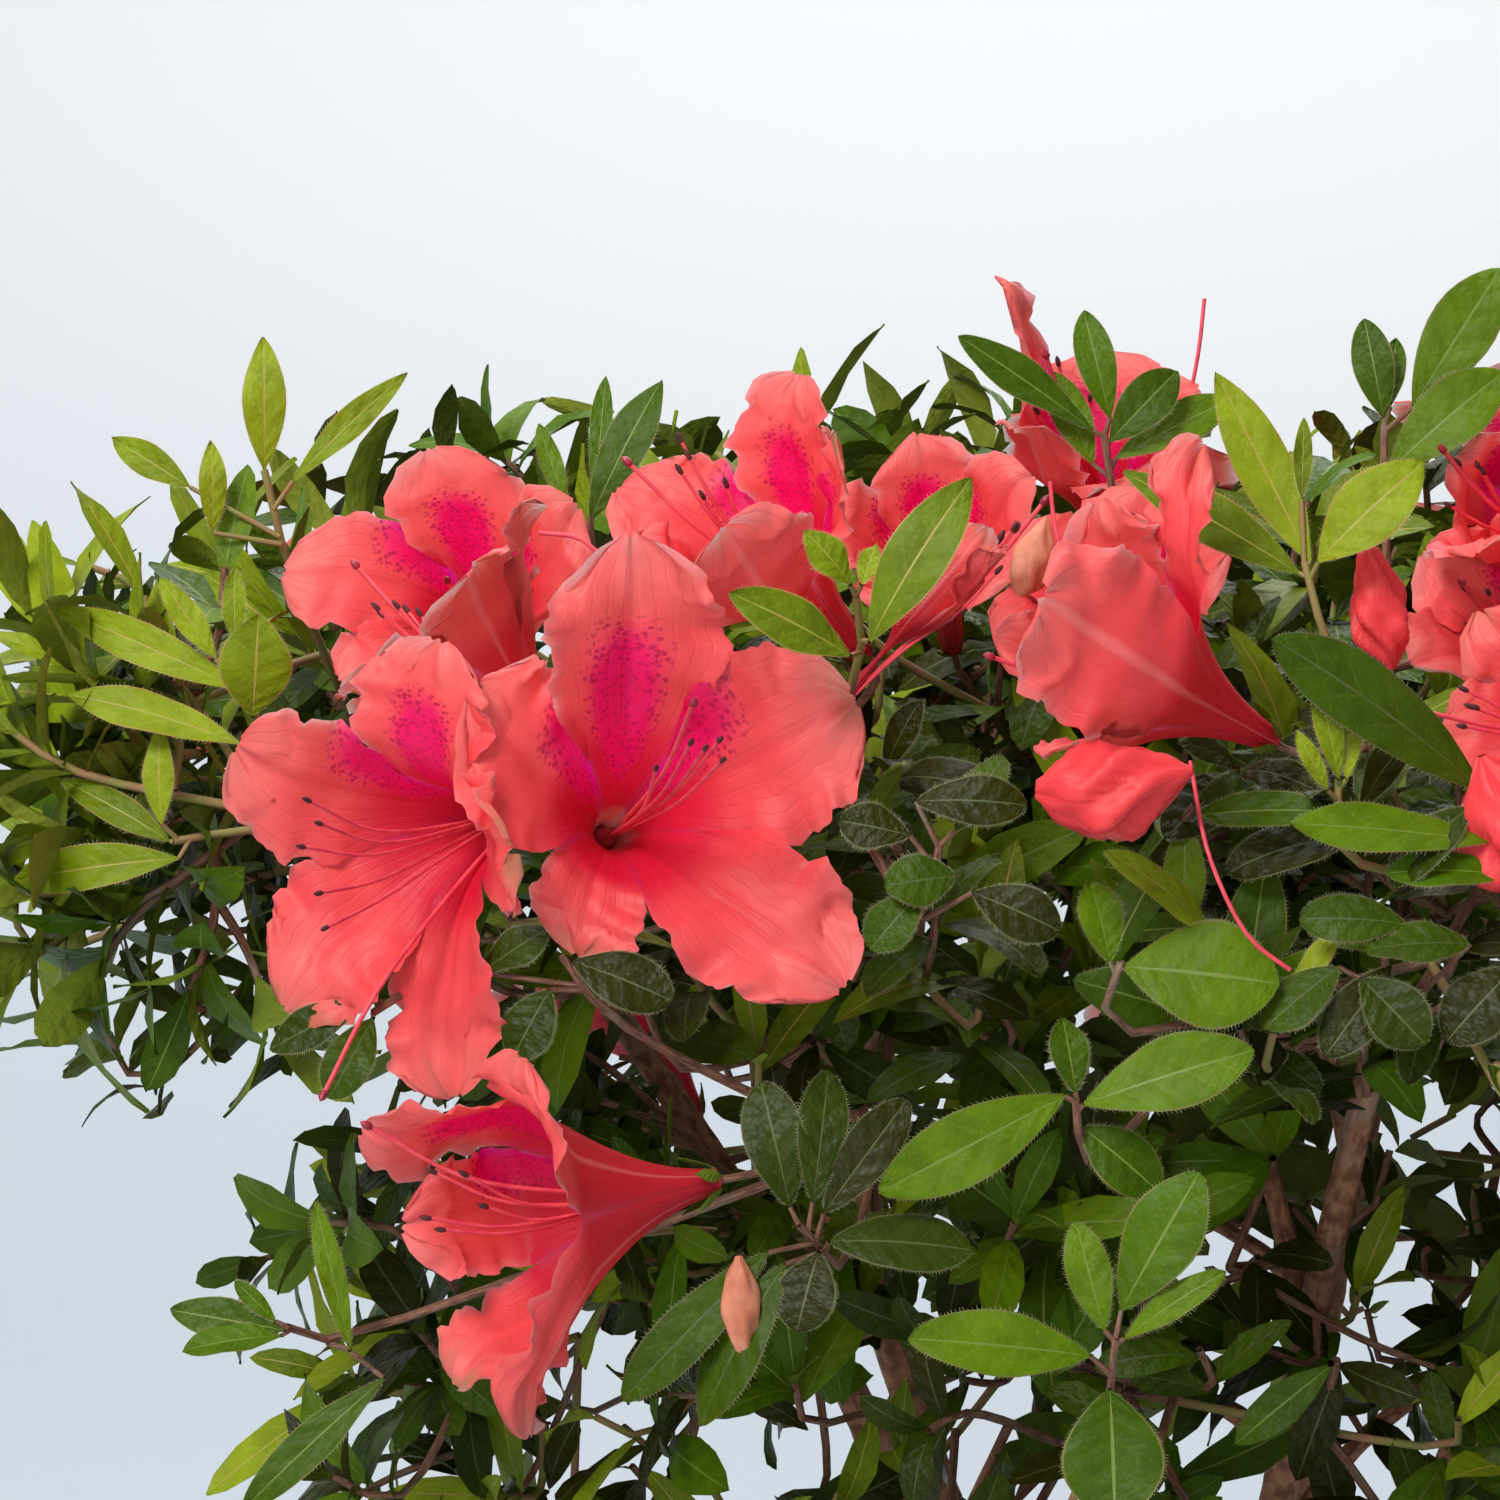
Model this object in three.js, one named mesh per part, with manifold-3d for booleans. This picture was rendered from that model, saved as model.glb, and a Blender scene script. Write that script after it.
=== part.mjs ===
// A coral azalea in a plain round pot: a short trunk, its boughs, and a low bun of leafy twigs in bloom.
// Millimetres, +Z up. The origin is the centre of the pot's flat underside. The front of the plant faces -Y.
// Azimuths are degrees from +X towards +Y. Every limb, twig, leaf and bloom is a closed faceted solid.

import * as THREE from 'three';
import { mergeVertices } from 'three/addons/utils/BufferGeometryUtils.js';
import Module from 'manifold-3d';

const wasm = await Module();
wasm.setup();

// Driving sizes
const CLEARANCE = 0.3;
const POT = {
  height: 245, topRadius: 142, footRadius: 112, wall: 3, floor: 4, rimDepth: 28, rimStep: 4, sides: 36,
};
const SOIL_DEPTH_BELOW_RIM = 22;
const TRUNK = {
  height: 58, baseRadius: 10.5, topRadius: 7.5, flare: 6, flareHeight: 9, lean: 4, sides: 10, steps: 6,
};
const MAIN_BOUGH = { count: 5, turn: 283, baseRadius: 5.2, tipRadius: 2.6, sides: 6, steps: 6 };
const SIDE_BOUGH = { baseRadius: 2.4, tipRadius: 1.5, sides: 5, steps: 4, forkGap: 17 };
const STEM = { baseRadius: 1.35, tipRadius: 1.1, sides: 3, reach: 0.8 };
const TWIG = { baseRadius: 0.6, tipRadius: 1.9, sides: 3, neck: 13 };
const LEAF = { length: 49, width: 21, thickness: 0.9, fold: 0.22, widest: 0.56, sunk: 0.7 };
const WHORL = { leaves: 7, spacing: 1.7, innerLean: 28, outerLean: 74 };
const BLOOM = {
  depth: 42, radius: 38, notch: 0.7, throatRadius: 6.5, tube: 0.44, hollow: 0.54, sides: 10, sunk: 8,
  clearAhead: 14,
};

// Where a mass's own blooms and shoots may be, as shares of its reach, how far apart, and how they turn
const BLOOM_PLACES = { nearest: 0.6, furthest: 0.88, gap: 66, upward: 0.35, wander: 0.35, tries: 260 };
const SHOOT_PLACES = { nearest: 0.42, furthest: 0.72, gap: 44, upward: 0.3, wander: 0.5, tries: 400 };
const FEWEST_LEAVES = { seeded: 4, placed: 2 };

// Between these azimuths only the blooms that are told apart grow, and in the stretch before them, blooms stay low
const SHOWN_SIDE = { from: 185, to: 290, lowFrom: 95, lowTop: 580 };
const DETOUR_COST = 0.45;
const HEART_HEIGHT = 400;
const GOLDEN_ANGLE = Math.PI * (3 - Math.sqrt(5));

// Distances kept to the edge of a mass's space, to limbs and to the open mouths of blooms
const MARGIN = {
  leafToEdge: 1, twigToEdge: 2, leafToLimb: 2.4, twigToLimb: 1.9, bloomToLimb: 6, leafToMouth: 1.5,
};

const MERGING_DISTANCE = 0.001;
const SLIVER_SIZES = [0.05, 0.08, 0.03];
const SAMPLE_SPACING = 4;

// The crown is three rings of foliage masses. Reach and height place each centre. Girth and rise are the half
// sizes of the space that its shoots fill, leaf tips included. Its bough ends at a share of the girth inside it.
const TIERS = [
  {
    name: 'upper', count: 8, turn: 13, reach: 178, height: 537, girth: 92, rise: 69, inset: 0.62,
    blooms: 3, shoots: 5,
  },
  {
    name: 'top', count: 4, turn: 80, reach: 78, height: 550, girth: 84, rise: 58, inset: 0.62,
    blooms: 2, shoots: 4,
  },
  {
    name: 'lower', count: 6, turn: 22, reach: 142, height: 428, girth: 88, rise: 76, inset: 0.72,
    blooms: 1, shoots: 6,
  },
];
const HEIGHT_JITTER = 8;

// Blooms and shoots on the front left of the crown that are told apart one by one: the place of a bloom's mouth
// or a shoot's bud, then the azimuth and elevation that it faces, and for a bloom the radius of its mouth.
const PLACED_BLOOMS = [
  [-156, -206, 544, 228, -10, 37],
  [-109, -215, 556, 283, 18, 37],
  [-136, -227, 483, 201, -6, 34],
  [-94, -182, 602, 222, 40, 33],
  [-31, -207, 583, 205, 28, 30],
  [-53, -184, 595, 350, 50, 17],
  [-144, -130, 585, 265, 25, 27],
  [-27, -112, 618, 245, 60, 32],
  [48, -140, 606, 225, 35, 28],
  [-55, -98, 592, 262, 40, 25],
  [46, -203, 572, 200, 15, 24],
];
const PLACED_SHOOTS = [
  [-168, -196, 570, 200, 40],
  [-195, -170, 546, 200, 10],
  [-177, -119, 598, 110, 78],
  [-120, -115, 596, 60, 70],
  [9, -203, 592, 230, 75],
  [22, -142, 610, 290, 78],
  [30, -215, 533, 275, 10],
  [-28, -226, 458, 265, 50],
  [-188, -146, 449, 200, 20],
  [-84, -222, 428, 262, 25],
];

const heart = new THREE.Vector3(0, 0, HEART_HEIGHT);
const soilTop = POT.height - SOIL_DEPTH_BELOW_RIM;

// Numbers between 0 and 1 that are the same on every run.
function seededNumbers(seed) {
  let state = 90001 + seed * 7919;
  return () => {
    state = (state * 16807) % 2147483647;
    return state / 2147483647;
  };
}

function direction(azimuth, elevation) {
  const around = THREE.MathUtils.degToRad(azimuth);
  const up = THREE.MathUtils.degToRad(elevation);
  return new THREE.Vector3(Math.cos(around) * Math.cos(up), Math.sin(around) * Math.cos(up), Math.sin(up));
}

function randomDirection(random) {
  const up = random() * 2 - 1;
  const around = random() * Math.PI * 2;
  const level = Math.sqrt(1 - up * up);
  return new THREE.Vector3(level * Math.cos(around), level * Math.sin(around), up);
}

// Closed solids from three.js shapes, and back

// One vertex where several are within the merging distance, without the triangles that this leaves flat.
function mergedMesh(geometry) {
  geometry.deleteAttribute('normal');
  geometry.deleteAttribute('uv');
  const merged = mergeVertices(geometry, MERGING_DISTANCE);
  const corners = merged.index.array;
  const triVerts = [];
  for (let i = 0; i < corners.length; i += 3) {
    const [a, b, c] = [corners[i], corners[i + 1], corners[i + 2]];
    if (a !== b && b !== c && c !== a) triVerts.push(a, b, c);
  }
  const vertProperties = new Float32Array(merged.attributes.position.array);
  return { numProp: 3, vertProperties, triVerts: new Uint32Array(triVerts) };
}

function solidFrom(geometry) {
  return new wasm.Manifold(new wasm.Mesh(mergedMesh(geometry)));
}

function geometryFrom(solid) {
  const mesh = solid.getMesh();
  const geometry = new THREE.BufferGeometry();
  geometry.setAttribute('position', new THREE.BufferAttribute(mesh.vertProperties, mesh.numProp));
  geometry.setIndex(new THREE.BufferAttribute(mesh.triVerts, 1));
  return geometry;
}

// Whether each edge still has exactly two faces once close vertices are merged.
function staysClosed(solid) {
  const { triVerts } = mergedMesh(geometryFrom(solid));
  const uses = new Map();
  for (let i = 0; i < triVerts.length; i++) {
    const next = i % 3 === 2 ? i - 2 : i + 1;
    const edge = [triVerts[i], triVerts[next]].sort((a, b) => a - b).join();
    uses.set(edge, (uses.get(edge) ?? 0) + 1);
  }
  return [...uses.values()].every((count) => count === 2);
}

// The outer skin of the largest piece, so that scraps go and hollows sealed by fusing are filled.
function largestPiece(solid) {
  return solid.decompose().reduce((best, piece) => (piece.volume() > best.volume() ? piece : best));
}

// One closed solid, without the slivers that fusing leaves. If no sliver size closes it, one leaf is left out.
function fuse(parts, leaves) {
  const choices = [leaves, ...leaves.map((left) => leaves.filter((leaf) => leaf !== left))];
  for (const kept of choices) {
    const whole = wasm.Manifold.union([...parts, ...kept]).asOriginal();
    const closed = SLIVER_SIZES.map((size) => largestPiece(whole.simplify(size))).find(staysClosed);
    if (closed) return closed;
  }
  throw new Error('the mass has no closed solid');
}

// Limbs and twigs

// Across directions at each station of a line, turned as little as possible from one to the next.
function crossFrames(stations) {
  const frames = [];
  let across = null;
  stations.forEach((station, i) => {
    const ahead = stations[Math.min(i + 1, stations.length - 1)];
    const behind = stations[Math.max(i - 1, 0)];
    const along = ahead.clone().sub(behind).normalize();
    if (!across) across = Math.abs(along.z) < 0.9 ? new THREE.Vector3(0, 0, 1) : new THREE.Vector3(1, 0, 0);
    across = across.clone().addScaledVector(along, -across.dot(along)).normalize();
    frames.push({ across, other: new THREE.Vector3().crossVectors(across, along) });
  });
  return frames;
}

// A round limb through the stations, its radius set by how far along it is.
function limbSolid(stations, radiusAt, sides) {
  const steps = stations.length - 1;
  const frames = crossFrames(stations);
  const geometry = new THREE.CylinderGeometry(1, 1, 1, sides, steps);
  const position = geometry.attributes.position;
  const vertex = new THREE.Vector3();
  for (let i = 0; i < position.count; i++) {
    vertex.fromBufferAttribute(position, i);
    const step = Math.round((vertex.y + 0.5) * steps);
    const radius = radiusAt(step / steps);
    const place = stations[step].clone();
    place.addScaledVector(frames[step].across, vertex.x * radius);
    place.addScaledVector(frames[step].other, vertex.z * radius);
    position.setXYZ(i, place.x, place.y, place.z);
  }
  return solidFrom(geometry);
}

function makeLimb(name, points, radiusAt, shape) {
  const curve = new THREE.CatmullRomCurve3(points);
  const stations = curve.getSpacedPoints(shape.steps);
  const grownRadiusAt = (t) => radiusAt(t) + CLEARANCE / Math.cos(Math.PI / shape.sides);
  const solid = limbSolid(stations, radiusAt, shape.sides);
  const grown = limbSolid(stations, grownRadiusAt, shape.sides);
  return { name, curve, radiusAt, solid, grown, length: curve.getLength(), forks: [] };
}

// A limb starts on its parent's axis, and is cut clear of every limb made before it.
function cutClear(limb, earlier) {
  for (const other of earlier) {
    limb.solid = limb.solid.subtract(other.grown);
  }
  limb.solid = largestPiece(limb.solid);
}

function taper(base, tip) {
  return (t) => base + (tip - base) * t;
}

// A thin twig of straight stretches. Its far end swells into the bud, or is sunk in the bloom that it carries.
function twigSolid(points) {
  return limbSolid(points, taper(TWIG.baseRadius, TWIG.tipRadius), TWIG.sides);
}

// Leaves, shoots and blooms

// One leaf of eight faces. It points along +X from its root, its face is up, and its midrib is a fold.
function leafGeometry(length) {
  const geometry = new THREE.OctahedronGeometry(1);
  const position = geometry.attributes.position;
  const scale = length / LEAF.length;
  for (let i = 0; i < position.count; i++) {
    const along = position.getX(i);
    const across = position.getY(i);
    const through = position.getZ(i);
    const share = along === 0 ? LEAF.widest : (along + 1) / 2;
    const y = across * (LEAF.width / 2) * scale;
    const z = through * (LEAF.thickness / 2) + Math.abs(y) * LEAF.fold;
    position.setXYZ(i, share * length - LEAF.sunk, y, z);
  }
  return geometry;
}

function frameAlong(along, facing, place) {
  const x = along.clone().normalize();
  const y = new THREE.Vector3().crossVectors(facing, x).normalize();
  const z = new THREE.Vector3().crossVectors(x, y);
  return new THREE.Matrix4().makeBasis(x, y, z).setPosition(place);
}

// The leaves of one shoot stand in a whorl round its bud: each is a matrix and a length.
function whorl(bud, facing, random) {
  const side = new THREE.Vector3(0.31, 0.17, 0.93).cross(facing).normalize();
  const other = new THREE.Vector3().crossVectors(facing, side);
  const start = random() * Math.PI * 2;
  const leaves = [];
  for (let i = 0; i < WHORL.leaves; i++) {
    const around = start + i * GOLDEN_ANGLE;
    const openness = Math.min(1, (2 * i) / WHORL.leaves);
    const degrees = WHORL.innerLean + (WHORL.outerLean - WHORL.innerLean) * openness + (random() - 0.5) * 14;
    const lean = THREE.MathUtils.degToRad(degrees);
    const outward = side.clone().multiplyScalar(Math.cos(around)).addScaledVector(other, Math.sin(around));
    const along = facing.clone().multiplyScalar(Math.cos(lean)).addScaledVector(outward, Math.sin(lean));
    const root = bud.clone().addScaledVector(facing, -WHORL.spacing * i);
    leaves.push({ matrix: frameAlong(along, facing, root), length: LEAF.length * (0.82 + random() * 0.2) });
  }
  return leaves;
}

// A funnel with five lobes, from its root on the twig to its open mouth. The mouth is level with z = depth.
function bloomGeometry(radius) {
  const profile = [
    new THREE.Vector2(0, 0),
    new THREE.Vector2(BLOOM.throatRadius, BLOOM.depth * BLOOM.tube),
    new THREE.Vector2(radius, BLOOM.depth),
    new THREE.Vector2(0, BLOOM.depth * BLOOM.hollow),
  ];
  const geometry = new THREE.LatheGeometry(profile, BLOOM.sides);
  const position = geometry.attributes.position;
  for (let i = 0; i < position.count; i++) {
    const x = position.getX(i);
    const z = position.getZ(i);
    const spread = Math.hypot(x, z);
    const spoke = Math.round((Math.atan2(x, z) / (Math.PI * 2)) * BLOOM.sides);
    const onRim = spread > BLOOM.throatRadius + 1;
    const reach = onRim && spoke % 2 !== 0 ? BLOOM.notch : 1;
    position.setXYZ(i, x * reach, position.getY(i), z * reach);
  }
  return geometry.rotateX(Math.PI / 2);
}

function bloomSolid(bloom) {
  const turn = new THREE.Quaternion().setFromUnitVectors(new THREE.Vector3(0, 0, 1), bloom.facing);
  const matrix = new THREE.Matrix4().compose(bloom.base, turn, new THREE.Vector3(1, 1, 1));
  return solidFrom(bloomGeometry(bloom.radius).applyMatrix4(matrix));
}

function makeBloom(mouth, facing, radius = BLOOM.radius) {
  const bloom = { mouth, facing, radius, base: mouth.clone().addScaledVector(facing, -BLOOM.depth) };
  bloom.solid = bloomSolid(bloom);
  return bloom;
}

// How far a point is outside a bloom and the clear space in front of its mouth. Inside is below zero.
function outsideBloom(point, bloom) {
  const offset = point.clone().sub(bloom.base);
  const ahead = offset.dot(bloom.facing);
  const aside = Math.sqrt(Math.max(0, offset.lengthSq() - ahead * ahead));
  const opening = THREE.MathUtils.clamp((ahead / BLOOM.depth - 0.2) / 0.8, 0, 1);
  const radius = BLOOM.throatRadius + (bloom.radius - BLOOM.throatRadius) * opening;
  return Math.max(aside - radius, -ahead, ahead - BLOOM.depth - BLOOM.clearAhead);
}

// The space that each mass keeps to

function makeMasses() {
  const masses = [];
  for (const tier of TIERS) {
    for (let i = 0; i < tier.count; i++) {
      const random = seededNumbers(masses.length + 1);
      const azimuth = tier.turn + (i * 360) / tier.count;
      const centre = direction(azimuth, 0).multiplyScalar(tier.reach);
      centre.z = tier.height + (random() - 0.5) * HEIGHT_JITTER;
      const inward = centre.clone().sub(heart).normalize();
      const entry = centre.clone().addScaledVector(inward, -tier.girth * tier.inset);
      const name = `foliage_${tier.name}_${i + 1}`;
      masses.push({ name, tier, azimuth, centre, entry, random, blooms: [], shoots: [], leaves: [] });
    }
  }
  return masses;
}

// Two masses are parted by the plane half way between their centres.
function inOwnSpace(point, mass, masses, margin) {
  return masses.every((other) => {
    if (other === mass) return true;
    const between = other.centre.clone().sub(mass.centre);
    const half = between.length() / 2;
    const toward = point.clone().sub(mass.centre).dot(between.normalize());
    return toward < half - margin;
  });
}

function nearestMass(point, masses) {
  const far = (mass) => mass.centre.distanceTo(point);
  return masses.reduce((best, mass) => (far(mass) < far(best) ? mass : best));
}

// Samples of every limb's axis, to keep twigs and leaves off the limbs.
function limbSamples(limbs) {
  const samples = [];
  for (const limb of limbs) {
    const count = Math.ceil(limb.length / SAMPLE_SPACING);
    for (let i = 0; i <= count; i++) {
      samples.push({ point: limb.curve.getPointAt(i / count), radius: limb.radiusAt(i / count) });
    }
  }
  return samples;
}

function clearOfLimbs(point, samples, margin) {
  return samples.every((sample) => sample.point.distanceTo(point) > sample.radius + margin);
}

function alongLine(from, to, spacing) {
  const count = Math.max(2, Math.ceil(from.distanceTo(to) / spacing));
  return Array.from({ length: count + 1 }, (unused, i) => from.clone().lerp(to, i / count));
}

// Growing a mass

// A leaf's outline and midrib, as points, to test where it lies.
function leafPoints(leaf) {
  const points = [];
  for (const along of [0.06, 0.2, 0.35, 0.5, 0.65, 0.8, 0.92, 1]) {
    const narrowing = Math.min(along / LEAF.widest, (1 - along) / (1 - LEAF.widest));
    const half = (LEAF.width / 2) * (leaf.length / LEAF.length) * narrowing;
    for (const side of [-1, 0, 1]) {
      const y = side * half;
      points.push(new THREE.Vector3(along * leaf.length - LEAF.sunk, y, Math.abs(y) * LEAF.fold));
    }
  }
  return points.map((point) => point.applyMatrix4(leaf.matrix));
}

function leafFits(leaf, mass, plant) {
  return leafPoints(leaf).every((point) => (
    inOwnSpace(point, mass, plant.masses, MARGIN.leafToEdge)
    && clearOfLimbs(point, plant.samples, MARGIN.leafToLimb)
  ));
}

// Only a shoot that has a place of its own may stand close to a bloom's mouth.
function leafLeavesMouthsOpen(leaf, plant) {
  const points = leafPoints(leaf);
  const isOpen = (bloom) => points.every((point) => outsideBloom(point, bloom) > MARGIN.leafToMouth);
  return plant.blooms.every(isOpen);
}

function lineFits(from, to, mass, plant) {
  return alongLine(from, to, 3).every((point) => (
    inOwnSpace(point, mass, plant.masses, MARGIN.twigToEdge)
    && clearOfLimbs(point, plant.samples, MARGIN.twigToLimb)
  ));
}

// The mass's one stem runs from its bough's tip towards its centre, and its joints carry the twigs. The samples of
// the bough's tip are dropped, as the stem starts there.
function growStem(mass, plant) {
  const tangent = mass.bough.curve.getTangentAt(1);
  const start = mass.bough.curve.getPointAt(1).addScaledVector(tangent, CLEARANCE);
  const end = start.clone().lerp(mass.centre, STEM.reach);
  const middle = start.clone().addScaledVector(tangent, start.distanceTo(end) * 0.5);
  mass.joints = [{ place: middle, travelled: start.distanceTo(middle) }];
  mass.joints.push({ place: end, travelled: start.distanceTo(middle) + middle.distanceTo(end) });
  mass.parts = [limbSolid([start, middle, end], taper(STEM.baseRadius, STEM.tipRadius), STEM.sides)];
  plant.samples = plant.samples.filter((sample) => sample.point.distanceTo(start) > 6 || sample.radius > 2);
}

// A twig leaves the joint that is near to its end and not far along from the stem's foot. It comes up straight
// behind what it carries.
function growTwig(end, facing, mass, plant, ownBloom) {
  const neck = end.clone().addScaledVector(facing, -TWIG.neck);
  const others = plant.blooms.filter((bloom) => bloom !== ownBloom).map((bloom) => bloom.solid);
  const avoided = [...mass.leaves, ...others];
  const cost = (joint) => joint.place.distanceTo(neck) + DETOUR_COST * joint.travelled;
  const ranked = [...mass.joints].sort((a, b) => cost(a) - cost(b));
  for (const joint of ranked.slice(0, 8)) {
    const solid = twigSolid([joint.place, neck, end]);
    const fits = lineFits(joint.place, neck, mass, plant) && lineFits(neck, end, mass, plant);
    if (fits && avoided.every((other) => solid.intersect(other).isEmpty())) {
      mass.parts.push(solid);
      const middle = joint.place.clone().lerp(neck, 0.6);
      mass.joints.push({ place: middle, travelled: joint.travelled + joint.place.distanceTo(middle) });
      return true;
    }
  }
  return false;
}

// Away from the heart of the crown, and turned up towards the light.
function outwardFacing(place, random, places) {
  const facing = place.clone().sub(heart).normalize();
  facing.z += places.upward;
  return facing.addScaledVector(randomDirection(random), places.wander).normalize();
}

function placeInMass(mass, places) {
  const { girth, rise } = mass.tier;
  const share = places.nearest + (places.furthest - places.nearest) * mass.random();
  const offset = randomDirection(mass.random).multiply(new THREE.Vector3(girth, girth, rise));
  return mass.centre.clone().addScaledVector(offset, share);
}

function farFromAll(place, places, gap) {
  return places.every((other) => other.distanceTo(place) > gap);
}

// Whether a seeded bloom opens outwards, within its own space, clear of limbs and of the other blooms.
function bloomFits(bloom, mass, plant) {
  const outline = [bloom.base, bloom.mouth, ...[0, 1, 2, 3, 4].map((spoke) => bloomRimPoint(bloom, spoke))];
  const outward = bloom.mouth.clone().sub(mass.centre).dot(bloom.facing) > 0.35 * mass.tier.rise;
  const staysLow = mass.azimuth > SHOWN_SIDE.lowFrom && mass.azimuth < SHOWN_SIDE.from;
  return outward
    && (!staysLow || outline.every((point) => point.z < SHOWN_SIDE.lowTop))
    && farFromAll(bloom.mouth, plant.blooms.map((other) => other.mouth), BLOOM_PLACES.gap)
    && farFromAll(bloom.base, plant.blooms.map((other) => other.base), BLOOM_PLACES.gap / 2)
    && outline.every((point) => inOwnSpace(point, mass, plant.masses, MARGIN.twigToEdge))
    && outline.every((point) => clearOfLimbs(point, plant.samples, MARGIN.bloomToLimb));
}

// The blooms that have a place of their own, then seeded ones in the outer part of each mass.
function placeBlooms(plant) {
  for (const [x, y, z, azimuth, elevation, radius] of PLACED_BLOOMS) {
    const bloom = makeBloom(new THREE.Vector3(x, y, z), direction(azimuth, elevation), radius);
    nearestMass(bloom.base, plant.masses).blooms.push(bloom);
    plant.blooms.push(bloom);
  }
  const isShown = (mass) => mass.azimuth > SHOWN_SIDE.from && mass.azimuth < SHOWN_SIDE.to;
  for (const mass of plant.masses.filter((other) => !isShown(other))) {
    for (let tries = 0; tries < BLOOM_PLACES.tries && mass.blooms.length < mass.tier.blooms; tries++) {
      const mouth = placeInMass(mass, BLOOM_PLACES);
      const bloom = makeBloom(mouth, outwardFacing(mouth, mass.random, BLOOM_PLACES));
      if (bloomFits(bloom, mass, plant)) {
        mass.blooms.push(bloom);
        plant.blooms.push(bloom);
      }
    }
  }
}

function bloomRimPoint(bloom, spoke) {
  const turn = new THREE.Quaternion().setFromUnitVectors(new THREE.Vector3(0, 0, 1), bloom.facing);
  const around = (spoke * Math.PI * 2) / 5;
  const rim = new THREE.Vector3(Math.cos(around), Math.sin(around), 0).multiplyScalar(bloom.radius);
  return rim.applyQuaternion(turn).add(bloom.mouth);
}

function placeShoots(plant) {
  for (const [x, y, z, azimuth, elevation] of PLACED_SHOOTS) {
    const bud = new THREE.Vector3(x, y, z);
    nearestMass(bud, plant.masses).shoots.push({ bud, facing: direction(azimuth, elevation), placed: true });
  }
}

// Leaves that would leave the space, or cross a limb, a bloom or another shoot's leaf, are left out.
function growShoot(shoot, mass, plant) {
  const crossed = [...mass.leaves, ...mass.parts, ...plant.blooms.map((bloom) => bloom.solid)];
  const solids = whorl(shoot.bud, shoot.facing, mass.random)
    .filter((leaf) => leafFits(leaf, mass, plant) && (shoot.placed || leafLeavesMouthsOpen(leaf, plant)))
    .map((leaf) => solidFrom(leafGeometry(leaf.length).applyMatrix4(leaf.matrix)))
    .filter((solid) => crossed.every((other) => solid.intersect(other).isEmpty()));
  const enough = solids.length >= (shoot.placed ? FEWEST_LEAVES.placed : FEWEST_LEAVES.seeded);
  if (!enough || !growTwig(shoot.bud, shoot.facing, mass, plant)) return false;
  mass.leaves.push(...solids);
  return true;
}

function growMass(mass, plant) {
  for (const bloom of mass.blooms) {
    const sunk = bloom.base.clone().addScaledVector(bloom.facing, BLOOM.sunk);
    if (growTwig(sunk, bloom.facing, mass, plant, bloom)) mass.parts.push(bloom.solid);
  }
  const grown = mass.shoots.filter((shoot) => growShoot(shoot, mass, plant));
  const buds = grown.map((shoot) => shoot.bud);
  const wanted = Math.max(mass.tier.shoots, buds.length + 1);
  for (let tries = 0; tries < SHOOT_PLACES.tries && buds.length < wanted; tries++) {
    const bud = placeInMass(mass, SHOOT_PLACES);
    const shoot = { bud, facing: outwardFacing(bud, mass.random, SHOOT_PLACES) };
    if (farFromAll(bud, buds, SHOOT_PLACES.gap) && growShoot(shoot, mass, plant)) buds.push(bud);
  }
  return fuse(mass.parts, mass.leaves);
}

// Pot, soil, trunk and boughs

function outerRadius(z) {
  return POT.footRadius + ((POT.topRadius - POT.rimStep - POT.footRadius) * z) / POT.height;
}

function latheSolid(outline) {
  const profile = outline.map(([radius, z]) => new THREE.Vector2(radius, z));
  return solidFrom(new THREE.LatheGeometry(profile, POT.sides).rotateX(Math.PI / 2));
}

function potSolid() {
  const rimFoot = POT.height - POT.rimDepth;
  return latheSolid([
    [0, 0],
    [outerRadius(0), 0],
    [outerRadius(rimFoot), rimFoot],
    [POT.topRadius, rimFoot + 1],
    [POT.topRadius, POT.height],
    [outerRadius(POT.height) - POT.wall, POT.height],
    [outerRadius(POT.floor) - POT.wall, POT.floor],
    [0, POT.floor],
  ]);
}

function soilSolid() {
  const bottom = POT.floor + CLEARANCE;
  return latheSolid([
    [0, bottom],
    [outerRadius(bottom) - POT.wall - CLEARANCE, bottom],
    [outerRadius(soilTop) - POT.wall - CLEARANCE, soilTop],
    [0, soilTop],
  ]);
}

function trunkRadius(t) {
  const flare = TRUNK.flare * Math.exp((-t * TRUNK.height) / TRUNK.flareHeight);
  return TRUNK.baseRadius + (TRUNK.topRadius - TRUNK.baseRadius) * t + flare;
}

function makeTrunk() {
  const foot = new THREE.Vector3(0, 0, soilTop + CLEARANCE);
  const low = foot.clone().add(new THREE.Vector3(0, 0, TRUNK.height * 0.25));
  const middle = foot.clone().add(new THREE.Vector3(TRUNK.lean * 0.5, -TRUNK.lean * 0.3, TRUNK.height * 0.6));
  const top = foot.clone().add(new THREE.Vector3(TRUNK.lean, -TRUNK.lean, TRUNK.height));
  return makeLimb('trunk', [foot, low, middle, top], trunkRadius, TRUNK);
}

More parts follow.
